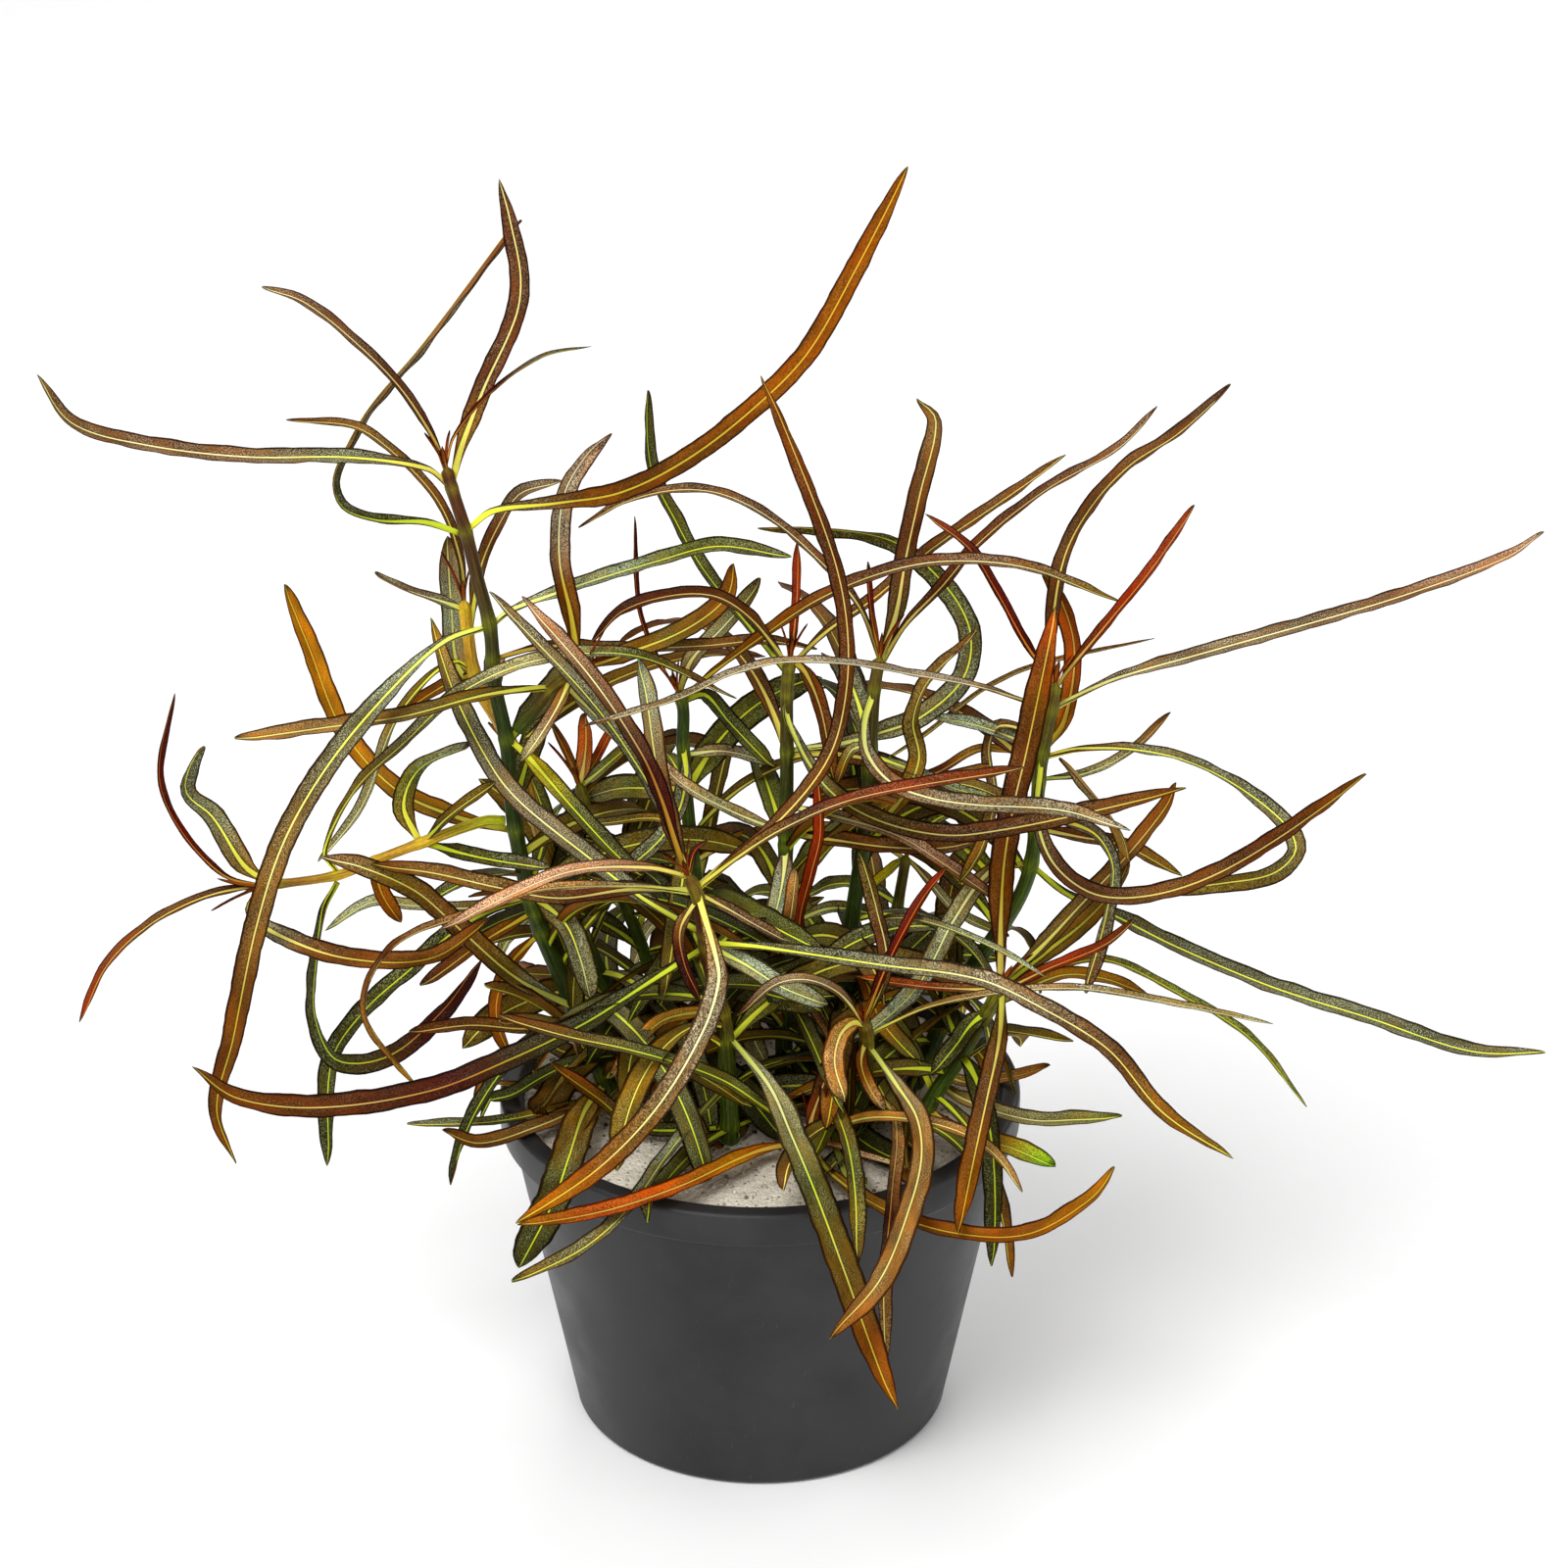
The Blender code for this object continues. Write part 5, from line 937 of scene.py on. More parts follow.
def add_blade(form, line, shares, upper, width, names, seed, slot, columns=COLUMNS, painted_light=1.0):
    """A leaf blade: folded along its midrib, waved at its margins and closed all round."""
    rng = np.random.default_rng(seed)
    along = running_length(line)
    side = np.cross(headings(line), upper)
    fullness = rng.uniform(*FULLNESS) * min(width / 2, 1)
    half = np.maximum(width / 2 * blade_width(shares, fullness), LEAST_HALF_WIDTH)[:, None]
    stalk = np.exp(-along / STALK_LENGTH)[:, None]
    size = min(1.0, width / FULL_RELIEF_WIDTH)
    column = np.array(columns)

    def waves_by_side(lengths, height):
        left, right = (waves(rng, along, lengths, height)[:, None] for _ in range(2))
        return np.where(column < 0, left, right)

    def each_column(rows):
        return np.repeat(rows[:, None], len(column), 1)

    def all_round(upper_rows, under_rows):
        return np.concatenate((upper_rows, under_rows[:, ::-1]), 1)

    def points(height):
        return line[:, None] + side[:, None] * across[..., None] + upper[:, None] * height[..., None]

    across = column * half * (1 + waves_by_side(WIDTH_WAVE_LENGTHS, WIDTH_WAVE))
    lift = waves_by_side(MARGIN_WAVE_LENGTHS, MARGIN_WAVE)
    fold = np.minimum(size * FOLD_DEPTH * (1 - stalk) + STALK_FOLD * stalk, half * FOLD_LIMIT)
    top = (-fold * (1 - np.abs(column) ** FOLD_POWER) + lift * column ** 2 * size * (1 - stalk)
           - RIB_GROOVE * np.exp(-(across / RIB_RADIUS) ** 2) * (1 - stalk))
    thick = size * (MARGIN_THICK + RIB_THICK * np.exp(-(across / RIB_THICK_REACH) ** 2)
                    + STALK_THICK * stalk * (1 - column ** 2))

    tones, rib_tones, grains = zip(*(TONES[name] for name in names.split()))
    at_tip = np.exp(-((along[-1] - along) / TIP_LENGTH) ** 2)[:, None] * TIP_SHARE
    # Painted light: the blade's and midrib's tones are multiplied by this factor, lighter for leaves low in
    # the shaded tangle
    shade = spread_tones(tones, shares) * (painted_light * rng.uniform(*BLADE_SHADES))
    shade = shade * (1 - at_tip) + linear(TIP_SHADE) * at_tip
    under_shade = shade * (1 - UNDERSIDE_SHARE) + linear(UNDERSIDE) * UNDERSIDE_SHARE
    near_stem = np.exp(-(along / min(STALK_REACH, along[-1] / 4)) ** 2)
    grain = spread(grains, shares)
    rib_shade = spread_tones(rib_tones, shares) * painted_light * (1 - TIP_RIB_SHARE * at_tip)
    rib_shade += (linear(STALK_SHADE) * painted_light - rib_shade) * (STALK_SHARE * grain * near_stem)[:, None]
    radius = (RIB_RADIUS * (1 - RIB_NARROWING * shares) + RIB_AT_STALK * near_stem) * size

    place = np.stack((each_column(along + PATTERN_SHIFT * (seed % PATTERN_SHIFTS)), across,
                      np.full(across.shape, seed * PATTERN_LAYER)), -1)
    edge = np.broadcast_to(np.abs(column), across.shape)
    traits = np.stack((each_column(radius), edge, each_column(grain)), -1)
    form.add_rings(
        all_round(points(top), points(top - thick)), slot,
        shade=all_round(each_column(shade), each_column(under_shade)),
        rib_shade=all_round(each_column(rib_shade), each_column(rib_shade * UNDERSIDE_RIB_SHADE)),
        place=all_round(place, place),
        traits=all_round(traits, traits * (UNDERSIDE_RIB, 1, UNDERSIDE_GRAIN)))


def painted_low_light(line):
    """How much painted light a leaf gets: how much lighter than its tones it is made, by where its middle
    is.
    """
    x, y, z = line[len(line) // 2]
    low = np.interp(z, PAINTED_LOW_LIGHT_LEVELS, (1.0, 0.0))
    return 1 + PAINTED_LOW_LIGHT * low * np.interp(math.hypot(x, y), PAINTED_LOW_LIGHT_REACH, (1.0, 0.0))


def add_leaf(form, leaf, stem_points, seed, slot):
    """A leaf along its route. It returns the place where the leaf leaves its stem."""
    base = depth_at(stem_points, *leaf.route[0])
    rough = in_mm(leaf_midrib(leaf, base, even_shares(FINE_STEPS)))
    shares = np.array(leaf_shares(math.ceil(running_length(rough)[-1] / LEAF_STEP)))
    line = in_mm(leaf_midrib(leaf, base, shares))
    # Painted light: leaves low in the middle are made lighter
    add_blade(form, line, shares, facing(line, shares, leaf.turn), leaf.width, leaf.tones, seed, slot,
              painted_light=painted_low_light(line))
    return line[0]


def carried_frame(line):
    """The direction of a line, and two directions across it that turn with it as little as they can."""
    ahead = headings(line)
    rows = [unit(np.cross(ahead[0], (0.0, 1.0, 0.0)))]
    for direction in ahead[1:]:
        rows.append(unit(rows[-1] - direction * (rows[-1] @ direction)))
    return ahead, np.array(rows), np.cross(ahead, rows)


def add_stem(form, stem, line, leaf_bases, seed):
    """A fluted stem, swollen where its leaves leave it, with a tuft of young leaves at its tip."""
    along = running_length(line)
    shares = along / along[-1]
    ahead, one, other = carried_frame(line)
    swell = np.zeros(len(line))
    for base in leaf_bases:
        node_at = along[np.argmin(np.linalg.norm(line - base, axis=1))]
        swell = np.maximum(swell, np.exp(-((along - node_at) / NODE_LENGTH) ** 2))
    left = np.clip((along[-1] - along) / stem.tip_radius, 0.02, 1)
    dome = np.sqrt(1 - (1 - left) ** 2)
    radius = stem.foot_radius + (stem.tip_radius - stem.foot_radius) * shares
    radius = radius * (1 + NODE_SWELL * swell) * dome
    swell = swell[:, None]
    angle = np.linspace(0, 2 * math.pi, STEM_SIDES, endpoint=False)
    flutes = 1 + FLUTE_DEPTH * np.cos(FLUTES * angle) * (1 - 0.7 * swell)
    outward = one[:, None] * np.cos(angle)[:, None] + other[:, None] * np.sin(angle)[:, None]
    rings = line[:, None] + outward * (radius[:, None] * flutes)[..., None]
    shade = spread_tones([STEM_TONES[name] for name in stem.tones.split()], shares)
    bright = linear(STEM_TONES["lime"]) * NODE_BRIGHTNESS * swell * (0.5 + shade * 2)
    shade = shade * (1 - NODE_BRIGHTNESS * swell) + bright
    place = np.stack(np.broadcast_arrays(along[:, None] + STEM_PATTERN_SHIFT * seed, np.cos(angle),
                                         np.sin(angle)), -1)
    form.add_rings(rings, 0, shade=np.repeat(shade[:, None], STEM_SIDES, 1), place=place)
    add_tuft(form, line[-1], ahead[-1], one[-1], other[-1], seed)


def add_tuft(form, tip, ahead, one, other, seed):
    """Young leaves round a stem's tip."""
    rng = np.random.default_rng(TUFT_SEED + seed)
    shares = np.linspace(0, 1, TUFT_POINTS)
    share = shares[:, None]
    for number, (angle, length, width, lean) in enumerate(TUFT):
        turn = math.radians(angle + rng.uniform(-TUFT_TURN, TUFT_TURN))
        out = one * math.cos(turn) + other * math.sin(turn)
        size = length * rng.uniform(*TUFT_SIZES)
        line = tip + ahead * (size * share - TUFT_SINK) + out * (size * lean * share ** TUFT_BEND)
        direction = headings(line)
        upper = unit(-out - direction * (direction @ -out)[:, None])
        add_blade(form, line, shares, upper, width, TUFT_TONES, TUFT_LEAF_SEED + 10 * seed + number, 1)


def cleared(line):
    """The line lifted softly where it would run into the sand or the pot's rim."""
    limit = np.interp(np.hypot(line[:, 0], line[:, 1]), CLEAR_DISTANCES, CLEAR_LEVELS)
    above = line[:, 2] - limit
    lifted = line.copy()
    lifted[:, 2] = limit + (above + np.hypot(above, CLEAR_SOFTNESS)) / 2
    return lifted


def view_cells(points):
    """The row and column of the view's cell that shows each point, and its distance."""
    seen = points * MM - np.array(VIEW_EYE)
    far = seen @ np.array(VIEW_AHEAD)
    scale = VIEW_SIZE / VIEW_CELL * VIEW_DISTANCE / VIEW_SPAN / far
    middle, last = VIEW_SIZE / VIEW_CELL / 2, VIEW_SIZE // VIEW_CELL - 1
    rows = np.clip(middle - seen @ np.array(VIEW_UP) * scale, 0, last).astype(int)
    return rows, np.clip(middle + seen[:, 0] * scale, 0, last).astype(int), far


def nearest_cells(forms):
    """The distance of what the forms show in each cell of the view."""
    nearest = np.full((VIEW_SIZE // VIEW_CELL,) * 2, np.inf)
    for form in forms:
        rows, columns, far = view_cells(np.concatenate(form.points))
        np.minimum.at(nearest, (rows, columns), far)
    return nearest


def shown_share(line, nearest):
    """How much of a line would stand before the leaves that have names, or alone high up."""
    rows, columns, far = view_cells(line)
    others = nearest[rows, columns]
    alone = np.isinf(others)
    high = line[:, 2] > OPEN_LEVEL
    return np.mean(~alone & (far < others)) + ALONE_WEIGHT * np.mean(alone & high)


def add_inner_leaf(form, base, heading, tones, seed, nearest):
    """A leaf that leaves its stem upwards, arches over and hangs. It isn't made if it shows too much."""
    rng = np.random.default_rng(seed)
    length = rng.uniform(*INNER_LENGTH)
    share = np.linspace(0, 1, math.ceil(length / INNER_LEAF_STEP))
    pitch = np.radians(rng.uniform(*INNER_PITCH) + share * rng.uniform(*INNER_SINKING))
    turn = heading + np.radians(rng.uniform(-INNER_SWING, INNER_SWING)) * share ** 2
    level, rise = np.cos(pitch), np.sin(pitch)
    way = np.stack((level * np.cos(turn), level * np.sin(turn), rise), -1)
    steps = way[1:] * (length / (len(share) - 1))
    line = cleared(base + np.concatenate((np.zeros((1, 3)), np.cumsum(steps, 0))))
    if np.hypot(*line[-1, :2]) > INNER_REACH or shown_share(line, nearest) > SHOWN_LIMIT:
        return False
    ahead = headings(line)
    upper = across_line(np.stack((-rise * np.cos(turn), -rise * np.sin(turn), level), -1), ahead)
    roll = rng.uniform(-INNER_ROLL, INNER_ROLL) + share * rng.uniform(-INNER_TWIST, INNER_TWIST)
    upper = rolled(upper, np.cross(ahead, upper), roll)
    # Painted light: the leaf is made lighter low down, in the shade of the tangle
    painted_light = np.interp(line[len(line) // 2, 2], INNER_PAINTED_LIGHT_LEVELS, INNER_PAINTED_LIGHT)
    add_blade(form, line, share, upper, rng.uniform(*INNER_WIDTH), tones, seed, 1, INNER_COLUMNS, painted_light)
    return True


def add_inner_leaves(form, line, seed, nearest):
    """Opposite pairs of leaves up a stem, each pair crosswise to the one under it."""
    rng = np.random.default_rng(INNER_STEM_SEED + seed)
    along = running_length(line)
    place, pair, heading = INNER_START, 0, rng.uniform(0, math.pi)
    while place < along[-1] - INNER_END:
        base = line[np.argmin(np.abs(along - place))]
        if base[2] > INNER_TOP:
            return
        tones = LOW_TONES if base[2] < INNER_LEVELS[1] else HIGH_TONES
        for side in (0, 1):
            chosen = tones[rng.integers(len(tones))]
            for attempt in range(INNER_TRIES):
                turn = heading + side * math.pi + rng.uniform(-INNER_TURN, INNER_TURN) * (1 + attempt)
                own = INNER_SEED + INNER_SEED_STEP * seed + 20 * pair + 10 * side + attempt
                if add_inner_leaf(form, base, turn, chosen, own, nearest):
                    break
        place += np.interp(base[2], INNER_LEVELS, INNER_STEP) * rng.uniform(*INNER_STEP_SPREAD)
        heading += math.pi / 2
        pair += 1


def put(tree, socket, value):
    if isinstance(value, bpy.types.NodeSocket):
        tree.links.new(value, socket)
    else:
        socket.default_value = value


def node(tree, kind, inputs=(), **settings):
    made = tree.nodes.new("ShaderNode" + kind)
    for name, value in settings.items():
        setattr(made, name, value)
    for key, value in dict(inputs).items():
        put(tree, made.inputs[key], value)
    return made


def calc(tree, operation, *values):
    return node(tree, "Math", enumerate(values), operation=operation).outputs[0]


def times(tree, *values):
    return calc(tree, 'MULTIPLY', *values)


def remap(tree, value, low, high, to_low=0.0, to_high=1.0):
    return node(tree, "MapRange", {0: value, 1: low, 2: high, 3: to_low, 4: to_high},
                interpolation_type='SMOOTHSTEP').outputs[0]


def mixed(tree, share, first, second, blend='MIX'):
    return node(tree, "Mix", {0: share, 6: first, 7: second}, data_type='RGBA', blend_type=blend).outputs[2]


def tinted(tree, colour, tint):
    return mixed(tree, 1.0, colour, tint, 'MULTIPLY')


def grey(value):
    return (value, value, value, 1)


def clouded(tree, colour, share, dark, bright):
    """The colour made darker or brighter from place to place, by a share from 0 to 1."""
    return tinted(tree, colour, mixed(tree, share, grey(dark), grey(bright)))


def attribute(tree, name, kind="Vector"):
    return node(tree, "Attribute", attribute_name=name).outputs[kind]


def split(tree, vector):
    return node(tree, "SeparateXYZ", {0: vector}).outputs


def noise(tree, place, scale, detail=2.0, roughness=0.5, stretch=None):
    if stretch:
        place = node(tree, "VectorMath", {0: place, 1: stretch}, operation='MULTIPLY').outputs[0]
    return node(tree, "TexNoise", {"Vector": place, "Scale": scale, "Detail": detail,
                                   "Roughness": roughness}).outputs[0]


def new_look(name, specular):
    look = bpy.data.materials.new(name)
    look.use_nodes = True
    shader = look.node_tree.nodes["Principled BSDF"]
    shader.inputs["Specular IOR Level"].default_value = specular
    return look, look.node_tree, shader


def set_skin(tree, shader, colour, roughness, height, strength, distance):
    """The shader's colour and roughness, and a relief as deep as the distance in millimetres."""
    bump = node(tree, "Bump", {"Height": height, "Strength": strength, "Distance": distance * MM})
    put(tree, shader.inputs["Base Color"], colour)
    put(tree, shader.inputs["Roughness"], roughness)
    put(tree, shader.inputs["Normal"], bump.outputs[0])


def leaf_grain(tree, place, colour, grain):
    """Salt and pepper grain on a colour, its light specks painted glints of sheen, and the noise that it
    comes from.
    """
    fine = noise(tree, place, 7.0, 1.0, stretch=(0.8, 1.0, 1.0))
    dark = times(tree, remap(tree, fine, 0.52, 0.38), remap(tree, grain, 0.0, 0.7, 0.35, 1.0))
    # Painted glints: the light specks stand in for sheen off the bumpy skin
    light = times(tree, remap(tree, fine, 0.54, 0.64), grain)
    colour = mixed(tree, times(tree, dark, 0.92), colour, tinted(tree, colour, DARK_GRAIN_TINT))
    lighter = mixed(tree, grain, tinted(tree, colour, grey(1.7)), PAINTED_GLINT_ADDED, 'ADD')
    return mixed(tree, times(tree, light, 0.9), colour, lighter), fine


def leaf_veins(tree, place, along, across, off_rib, edge):
    """How much a vein shows: veins leave the midrib in turn on its two sides and lean to the tip."""
    wander = noise(tree, place, 1.0, 1.0, stretch=(0.5, 0.5, 1.0))
    other_side = times(tree, calc(tree, 'GREATER_THAN', across, 0.0), 0.5)
    phase = calc(tree, 'SUBTRACT', times(tree, along, 0.45), times(tree, off_rib, 0.62))
    phase = calc(tree, 'ADD', calc(tree, 'ADD', phase, other_side), times(tree, wander, 0.9))
    vein = remap(tree, calc(tree, 'PINGPONG', phase, 0.5), 0.44, 0.5)
    return times(tree, vein, remap(tree, edge, 0.95, 0.6))


def leaf_look():
    """A blade with salt and pepper grain where it is grey, its light specks painted glints of sheen, veins,
    a dark margin and a bright midrib.
    """
    look, tree, shader = new_look("leaf", 0.045)
    place = attribute(tree, "place")
    rib, edge, grain = split(tree, attribute(tree, "traits"))
    along, across, _ = split(tree, place)
    off_rib = calc(tree, 'ABSOLUTE', across)

    slow = noise(tree, place, 1.0, 3.0, stretch=(0.14, 0.5, 1.0))
    colour = clouded(tree, attribute(tree, "shade", "Color"), remap(tree, slow, 0.3, 0.7), 0.68, 1.32)
    patch = noise(tree, place, 1.0, stretch=(0.22, 0.8, 1.3))
    warm = tinted(tree, colour, WARM_TINT)
    colour = mixed(tree, remap(tree, patch, 0.46, 0.66, 0.0, 0.8), colour, warm)

    grain = times(tree, grain, remap(tree, patch, 0.62, 0.42, 0.45, 1.0))
    colour, fine = leaf_grain(tree, place, colour, grain)
    vein = leaf_veins(tree, place, along, across, off_rib, edge)
    veined = mixed(tree, grain, tinted(tree, colour, grey(1.6)), mixed(tree, 1.0, colour, VEIN_ADDED, 'ADD'))
    colour = mixed(tree, times(tree, vein, 0.55), colour, veined)

    rim = remap(tree, edge, 0.76, 0.89, 0.0, 0.96)
    colour = mixed(tree, rim, colour, tinted(tree, colour, MARGIN_TINT))
    ratio = calc(tree, 'DIVIDE', off_rib, rib)
    beside = times(tree, remap(tree, ratio, 2.7, 1.2), 0.7)
    colour = mixed(tree, beside, colour, tinted(tree, colour, grey(0.3)))
    rib_shade = clouded(tree, attribute(tree, "rib_shade", "Color"), slow, 0.75, 1.25)
    colour = mixed(tree, remap(tree, ratio, 1.15, 0.85), colour, rib_shade)

    relief = calc(tree, 'ADD', times(tree, fine, times(tree, grain, 0.8)), times(tree, vein, -0.25))
    set_skin(tree, shader, colour, remap(tree, fine, 0.35, 0.7, 0.62, 0.42), relief, 0.5, 0.16)
    return look


def stem_look():
    """A stem with dark and bright streaks along it."""
    look, tree, shader = new_look("stem", 0.12)
    place = attribute(tree, "place")
    streak = noise(tree, place, 1.0, 3.0, 0.6, stretch=(0.16, 4.0, 4.0))
    fine = noise(tree, place, 1.6, stretch=(1.0, 5.0, 5.0))
    colour = clouded(tree, attribute(tree, "shade", "Color"), remap(tree, streak, 0.32, 0.68), 0.55, 1.5)
    colour = clouded(tree, colour, remap(tree, fine, 0.35, 0.65), 0.8, 1.2)
    set_skin(tree, shader, colour, remap(tree, fine, 0.3, 0.7, 0.32, 0.5), streak, 0.5, 0.2)
    return look


def sand_look():
    """Fine pale grains, a few of them dark."""
    look, tree, shader = new_look("sand", 0.3)
    place = attribute(tree, "place")
    cells = node(tree, "TexVoronoi", {"Vector": place, "Scale": 2.6})
    chance, tint, _ = split(tree, cells.outputs["Color"])
    slow = noise(tree, place, 0.16, 3.0)
    colour = clouded(tree, attribute(tree, "shade", "Color"), remap(tree, slow, 0.3, 0.7), 0.9, 1.06)
    colour = tinted(tree, colour, mixed(tree, tint, (0.84, 0.83, 0.80, 1), (1.10, 1.09, 1.07, 1)))
    speck = remap(tree, chance, 0.955, 0.97)
    colour = mixed(tree, times(tree, speck, 0.75), colour, SPECK_TONE)
    set_skin(tree, shader, colour, remap(tree, tint, 0.0, 1.0, 0.75, 0.95), cells.outputs["Distance"],
             0.6, -0.25)
    return look


def pot_look():
    """Satin black plastic with faint clouds and scuffs."""
    look, tree, shader = new_look("pot", 0.3)
    place = attribute(tree, "place")
    cloud = noise(tree, place, 0.08, 4.0, 0.6)
    fine = noise(tree, place, 3.0, 3.0, 0.6)
    scuff = noise(tree, place, 1.0, 4.0, 0.7, stretch=(2.2, 2.2, 0.12))
    colour = mixed(tree, remap(tree, cloud, 0.3, 0.7), *POT_TONES)
    colour = mixed(tree, remap(tree, scuff, 0.62, 0.8, 0.0, 0.5), colour, POT_SCUFF_TONE)
    set_skin(tree, shader, colour, remap(tree, cloud, 0.3, 0.7, 0.36, 0.52), fine, 0.18, 0.06)
    return look


def turned_rings(profile, sides):
    """Rings of points round the Z axis through a profile of radius and height pairs."""
    angle = np.linspace(0, 2 * math.pi, sides, endpoint=False)
    radius, height = np.array(profile, float).T[..., None]
    return np.stack(np.broadcast_arrays(radius * np.cos(angle), radius * np.sin(angle), height), -1)


def rounded(corner, size, start, end, steps=6):
    """Points of a small arc of that size about a centre, from one angle to another."""
    return [(corner[0] + size * math.cos(angle), corner[1] + size * math.sin(angle))
            for angle in np.radians(np.linspace(start, end, steps))]


def inner_radius(height):
    """The radius of the pot's inside at a height."""
    low, high = POT_BASE_RADIUS - POT_WALL, POT_RIM_RADIUS - POT_RIM_THICKNESS
    return low + (high - low) * (height - POT_FLOOR) / (POT_HEIGHT - POT_FLOOR)


def make_pot(look):
    """The pot, turned from a profile that runs up its outside, over the rim and down its inside."""
    base, rim, under = POT_BASE_RADIUS, POT_RIM_RADIUS, POT_HEIGHT - POT_RIM_HEIGHT
    wall, inside = rim - POT_RIM_OVERHANG, rim - POT_RIM_THICKNESS
    foot, corner, (low, high) = POT_FOOT_ROUND, POT_CORNER_ROUND, POT_RIM_ROUNDS
    profile = [(AXIS_RADIUS, 0), (base - foot - BEFORE_FOOT, 0)]
    profile += rounded((base - foot, foot), foot, -90, 0)
    profile += [(base + (wall - base) * share, foot + (under - foot - corner) * share)
                for share in np.linspace(*POT_OUTER_SHARES, POT_OUTER_RINGS)]
    profile += rounded((wall + corner, under - corner), corner, 180, 90, 5)
    profile += rounded((rim - low, under + low), low, -90, 0)
    profile += rounded((rim - high, POT_HEIGHT - high), high, 0, 90)
    profile += rounded((inside + high, POT_HEIGHT - high), high, 90, 180)
    profile += [(inner_radius(height), height) for height in np.linspace(
        POT_HEIGHT - high - BEHIND_RIM, POT_FLOOR + POT_FLOOR_SLOPE, POT_INNER_RINGS)]
    profile += [(inner_radius(POT_FLOOR) - POT_FLOOR_SLOPE, POT_FLOOR), (AXIS_RADIUS, POT_FLOOR)]
    form = Form()
    rings = turned_rings(profile, POT_SIDES)
    form.add_rings(rings, 0, place=rings)
    return form.finished("turned_pot", [look])


def sand_height(x, y):
    """The sand's level: a low crown with soft dents."""
    far = np.hypot(x, y) / inner_radius(SAND_LEVEL)
    dents = (np.sin(x * 0.31 + 1.3 * np.sin(y * 0.23)) * np.sin(y * 0.27 + 0.8)
             + 0.6 * np.sin(x * 0.61 + y * 0.47 + 2.0) * np.sin(y * 0.71 - x * 0.2))
    return SAND_LEVEL + SAND_CROWN * (1 - far ** 2) + SAND_DENTS * dents * (1 - far ** 6)


def twenty_sided():
    """The corners and the faces of a regular stone of twenty sides and radius 1."""
    corners = unit(np.array([np.roll((0, side, end * GOLDEN), -turn)
                             for turn in range(3) for side in (-1, 1) for end in (-1, 1)]))
    near = np.linalg.norm(corners[:, None] - corners[None], axis=-1) < NEIGHBOUR_LIMIT
    trios = [(one, two, three) for one in range(12) for two in range(one) for three in range(two)]
    faces = []
    for one, two, three in trios:
        if near[one, two] and near[two, three] and near[one, three]:
            normal = np.cross(corners[two] - corners[one], corners[three] - corners[one])
            faces.append((one, two, three) if normal @ corners[one] > 0 else (three, two, one))
    return corners, faces


def add_grains(form, rng):
    """Loose grains that lie on the sand: uneven stones, pale, grey or dark."""
    corners, faces = twenty_sided()
    edge = inner_radius(SAND_LEVEL) - GRAIN_WALL_GAP
    tones = linear(GRAIN_TONES)
    for _ in range(GRAIN_COUNT):
        far, turn = edge * math.sqrt(rng.uniform()), rng.uniform(0, 2 * math.pi)
        x, y = far * math.cos(turn), far * math.sin(turn)
        size = rng.uniform(*GRAIN_SIZES)
        stone = corners * rng.uniform(*GRAIN_UNEVENNESS, (12, 1)) * size * rng.uniform(*GRAIN_STRETCH, 3)
        points = stone + (x, y, sand_height(x, y) + size * GRAIN_LIFT)
        tone = tones[rng.choice(len(tones), p=GRAIN_CHANCES)]
        form.add(points, [tuple(form.count + number for number in face) for face in faces], 0,
                 {"shade": tone, "place": points * GRAIN_PATTERN})


def make_sand(look):
    """The sand: closed, with a fine uneven surface and loose grains on it."""
    rng = np.random.default_rng(SAND_SEED)
    edge, foot = inner_radius(SAND_LEVEL) - SAND_GAP, inner_radius(POT_FLOOR) - SAND_FOOT_GAP
    low = POT_FLOOR + SAND_FLOOR_GAP
    wall = low + SAND_CHAMFER
    sides = [(AXIS_RADIUS, low), (foot - SAND_CHAMFER, low), (foot, wall)]
    sides += [(foot + (edge - foot) * share, wall + (SAND_LEVEL - wall - SAND_FLOOR_GAP) * share)
              for share in SAND_WALL_SHARES]
    surface = [(radius, SAND_LEVEL) for radius in np.arange(edge, SAND_LAST_RADIUS, -SAND_RING_STEP)]
    rings = turned_rings(sides + surface, SAND_SIDES)
    top = rings[len(sides):]
    top[..., 2] = sand_height(top[..., 0], top[..., 1]) + rng.normal(0, SAND_ROUGHNESS, top.shape[:2])
    form = Form()
    form.add_rings(rings, 0, place=rings, shade=np.broadcast_to(linear(SAND_TONE), rings.shape))
    add_grains(form, rng)
    return form.finished("grainy_sand", [look])


def placed(thing, nodes):
    """Puts a piece in place of its solids, which are hidden."""
    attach(thing, "root")
    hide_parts(*nodes)


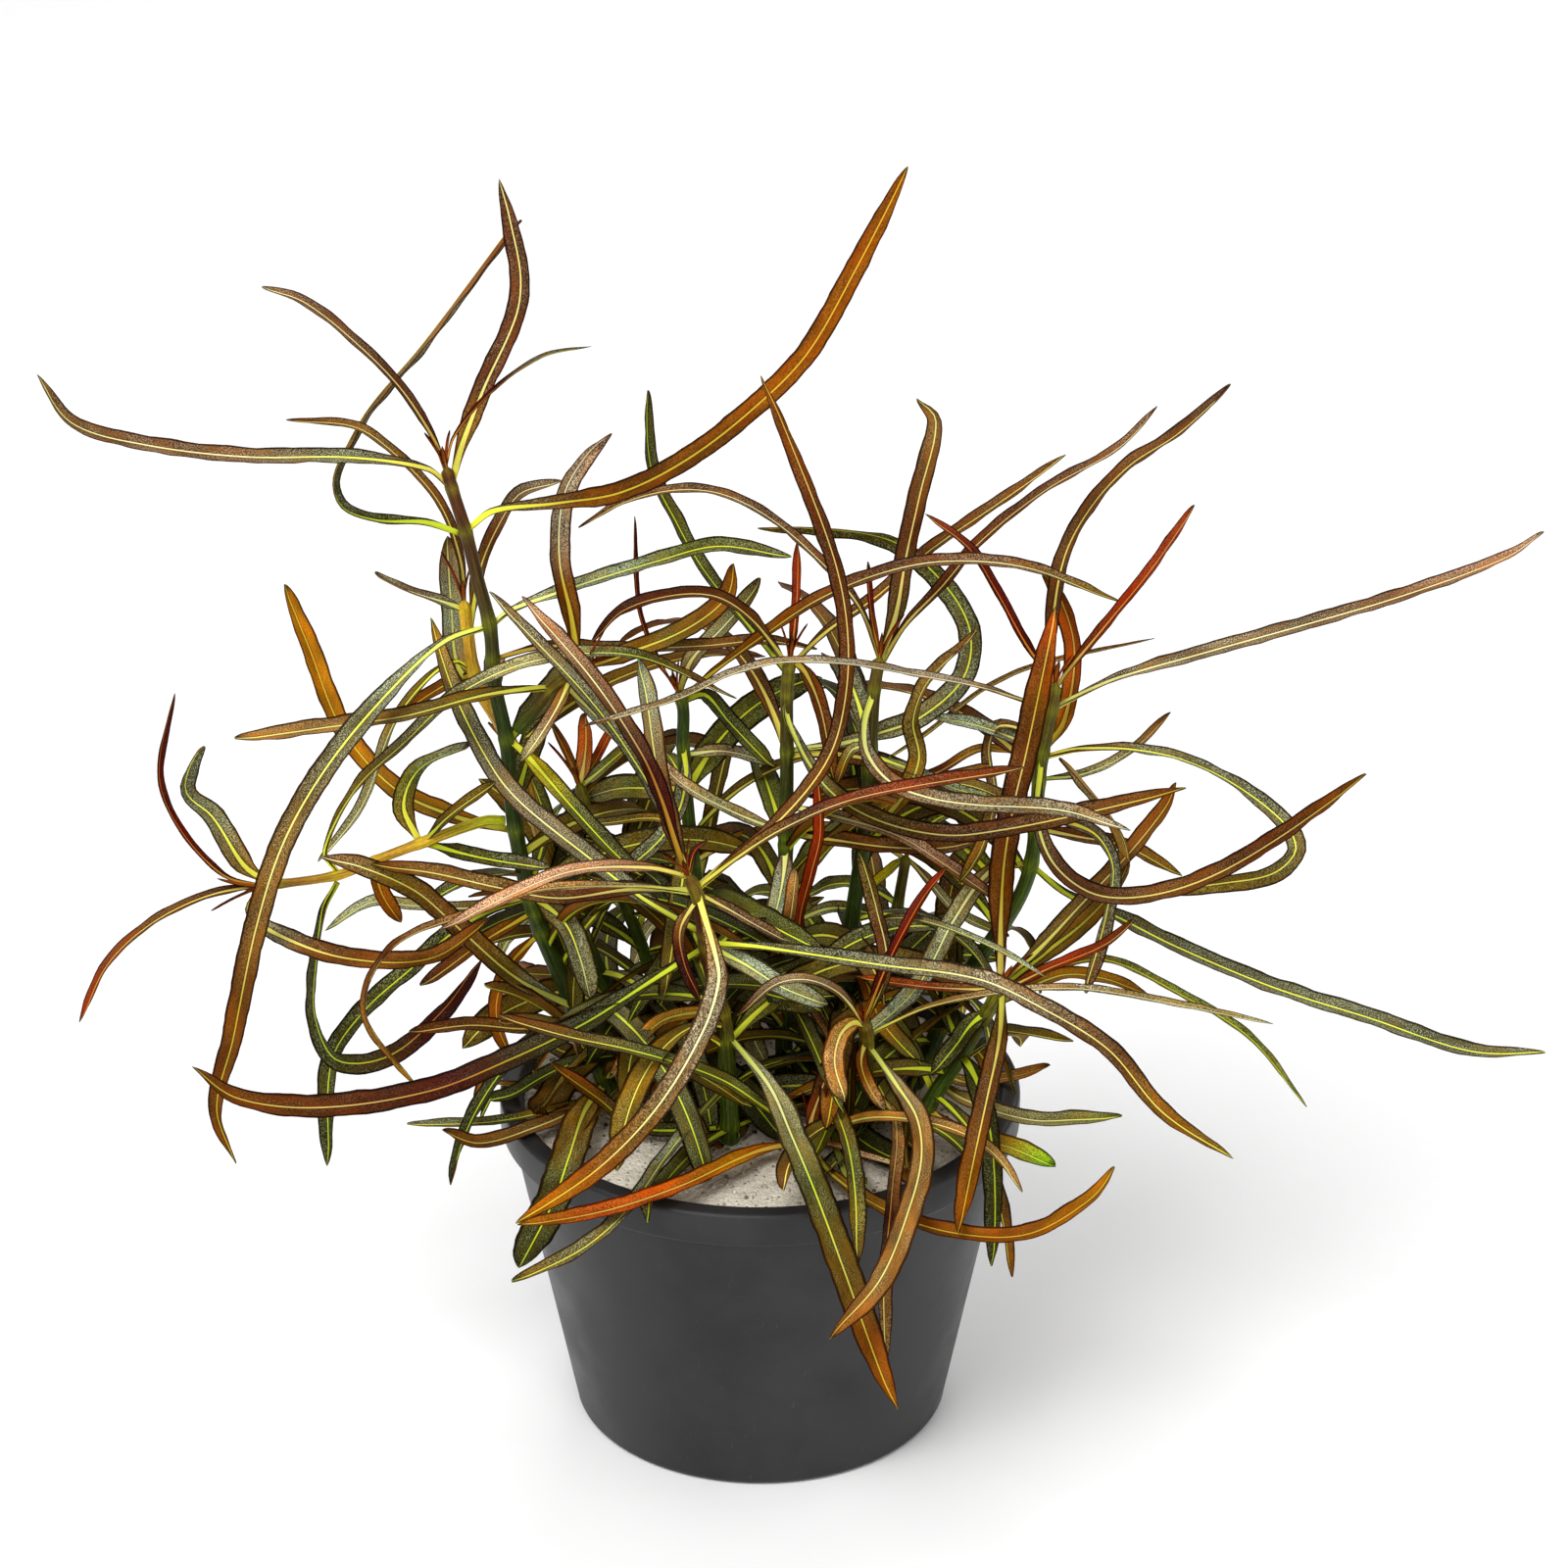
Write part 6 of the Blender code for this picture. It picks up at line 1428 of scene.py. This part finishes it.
def make_plant():
    """The stems, each with its short leaves, inner leaves and tuft, and the long leaves."""
    leaf, stem_surface = leaf_look(), stem_look()
    stems = [with_route(Stem, row) for row in STEMS]
    leaves = [with_route(Leaf, row) for row in LONG_LEAVES]
    fine = {stem.name: read_curve(stem_route(stem), even_shares(FINE_STEPS)) for stem in stems}
    bases = {stem.name: [] for stem in stems}
    forms = {row.name: Form() for row in leaves + stems}
    for number, row in enumerate(leaves):
        bases[row.stem].append(add_leaf(forms[row.name], row, fine[row.stem], number + 1, 0))
    for number, stem in enumerate(stems):
        for place, values in enumerate(SHORT_LEAVES.get(stem.name, ())):
            row = with_route(Leaf, (stem.name,) + values)
            seed = SHORT_LEAF_SEED + SHORT_LEAF_SEED_STEP * number + place
            bases[stem.name].append(add_leaf(forms[stem.name], row, fine[stem.name], seed, 1))
    nearest = nearest_cells([form for form in forms.values() if form.count])
    for number, stem in enumerate(stems):
        form = forms[stem.name]
        steps = math.ceil(running_length(in_mm(fine[stem.name]))[-1] / STEM_STEP)
        line = in_mm(read_curve(stem_route(stem), even_shares(steps)))
        add_stem(form, stem, line, bases[stem.name], number)
        if stem.parent is None:
            add_inner_leaves(form, line, number, nearest)
        placed(form.finished("fine_" + stem.name, [stem_surface, leaf]), [stem.name])
    for row in leaves:
        placed(forms[row.name].finished("fine_" + row.name, [leaf]), [row.name])


def make_stage():
    """A plain pale floor."""
    look, tree, shader = new_look("floor", 0.1)
    soft = noise(tree, node(tree, "TexCoord").outputs["Object"], 3.0)
    put(tree, shader.inputs["Base Color"], mixed(tree, soft, *map(grey, FLOOR_GREYS)))
    shader.inputs["Roughness"].default_value = FLOOR_ROUGHNESS
    mesh = bpy.data.meshes.new("floor")
    corners = [(x * FLOOR_REACH, y * FLOOR_REACH, 0) for x, y in ((-1, -1), (1, -1), (1, 1), (-1, 1))]
    mesh.from_pydata(corners, [], [(0, 1, 2, 3)])
    mesh.materials.append(look)
    floor = linked("floor", mesh)
    floor.location = (0, 0, -FLOOR_DROP)


def make_light():
    """An even white sky and soft lights that look at the plant."""
    world = bpy.data.worlds.new("soft_white")
    world.use_nodes = True
    sky = world.node_tree.nodes["Background"]
    sky.inputs["Color"].default_value = (1, 1, 1, 1)
    sky.inputs["Strength"].default_value = SKY_STRENGTH
    bpy.context.scene.world = world
    for name, (place, size, power) in LIGHTS.items():
        lamp = bpy.data.lights.new(name, 'AREA')
        lamp.shape = 'SQUARE'
        lamp.size = size
        lamp.energy = power
        thing = linked(name, lamp)
        thing.location = place
        thing.rotation_euler = (Vector(LIGHT_TARGET) - Vector(place)).to_track_quat('-Z', 'Y').to_euler()


def make_camera():
    """The eye of the view in which midribs are read."""
    camera = bpy.data.cameras.new("camera")
    camera.sensor_width = SENSOR
    camera.lens = SENSOR * VIEW_DISTANCE / VIEW_SPAN
    camera.clip_start = 0.01
    thing = linked("camera", camera)
    side = VIEW_AHEAD.cross(VIEW_UP)
    thing.matrix_world = Matrix((side, VIEW_UP, -VIEW_AHEAD)).transposed().to_4x4()
    thing.location = VIEW_EYE
    bpy.context.scene.camera = thing


make_plant()
placed(make_pot(pot_look()), ["pot"])
placed(make_sand(sand_look()), ["sand"])
make_stage()
make_light()
make_camera()
bpy.context.scene.view_settings.view_transform = 'Standard'
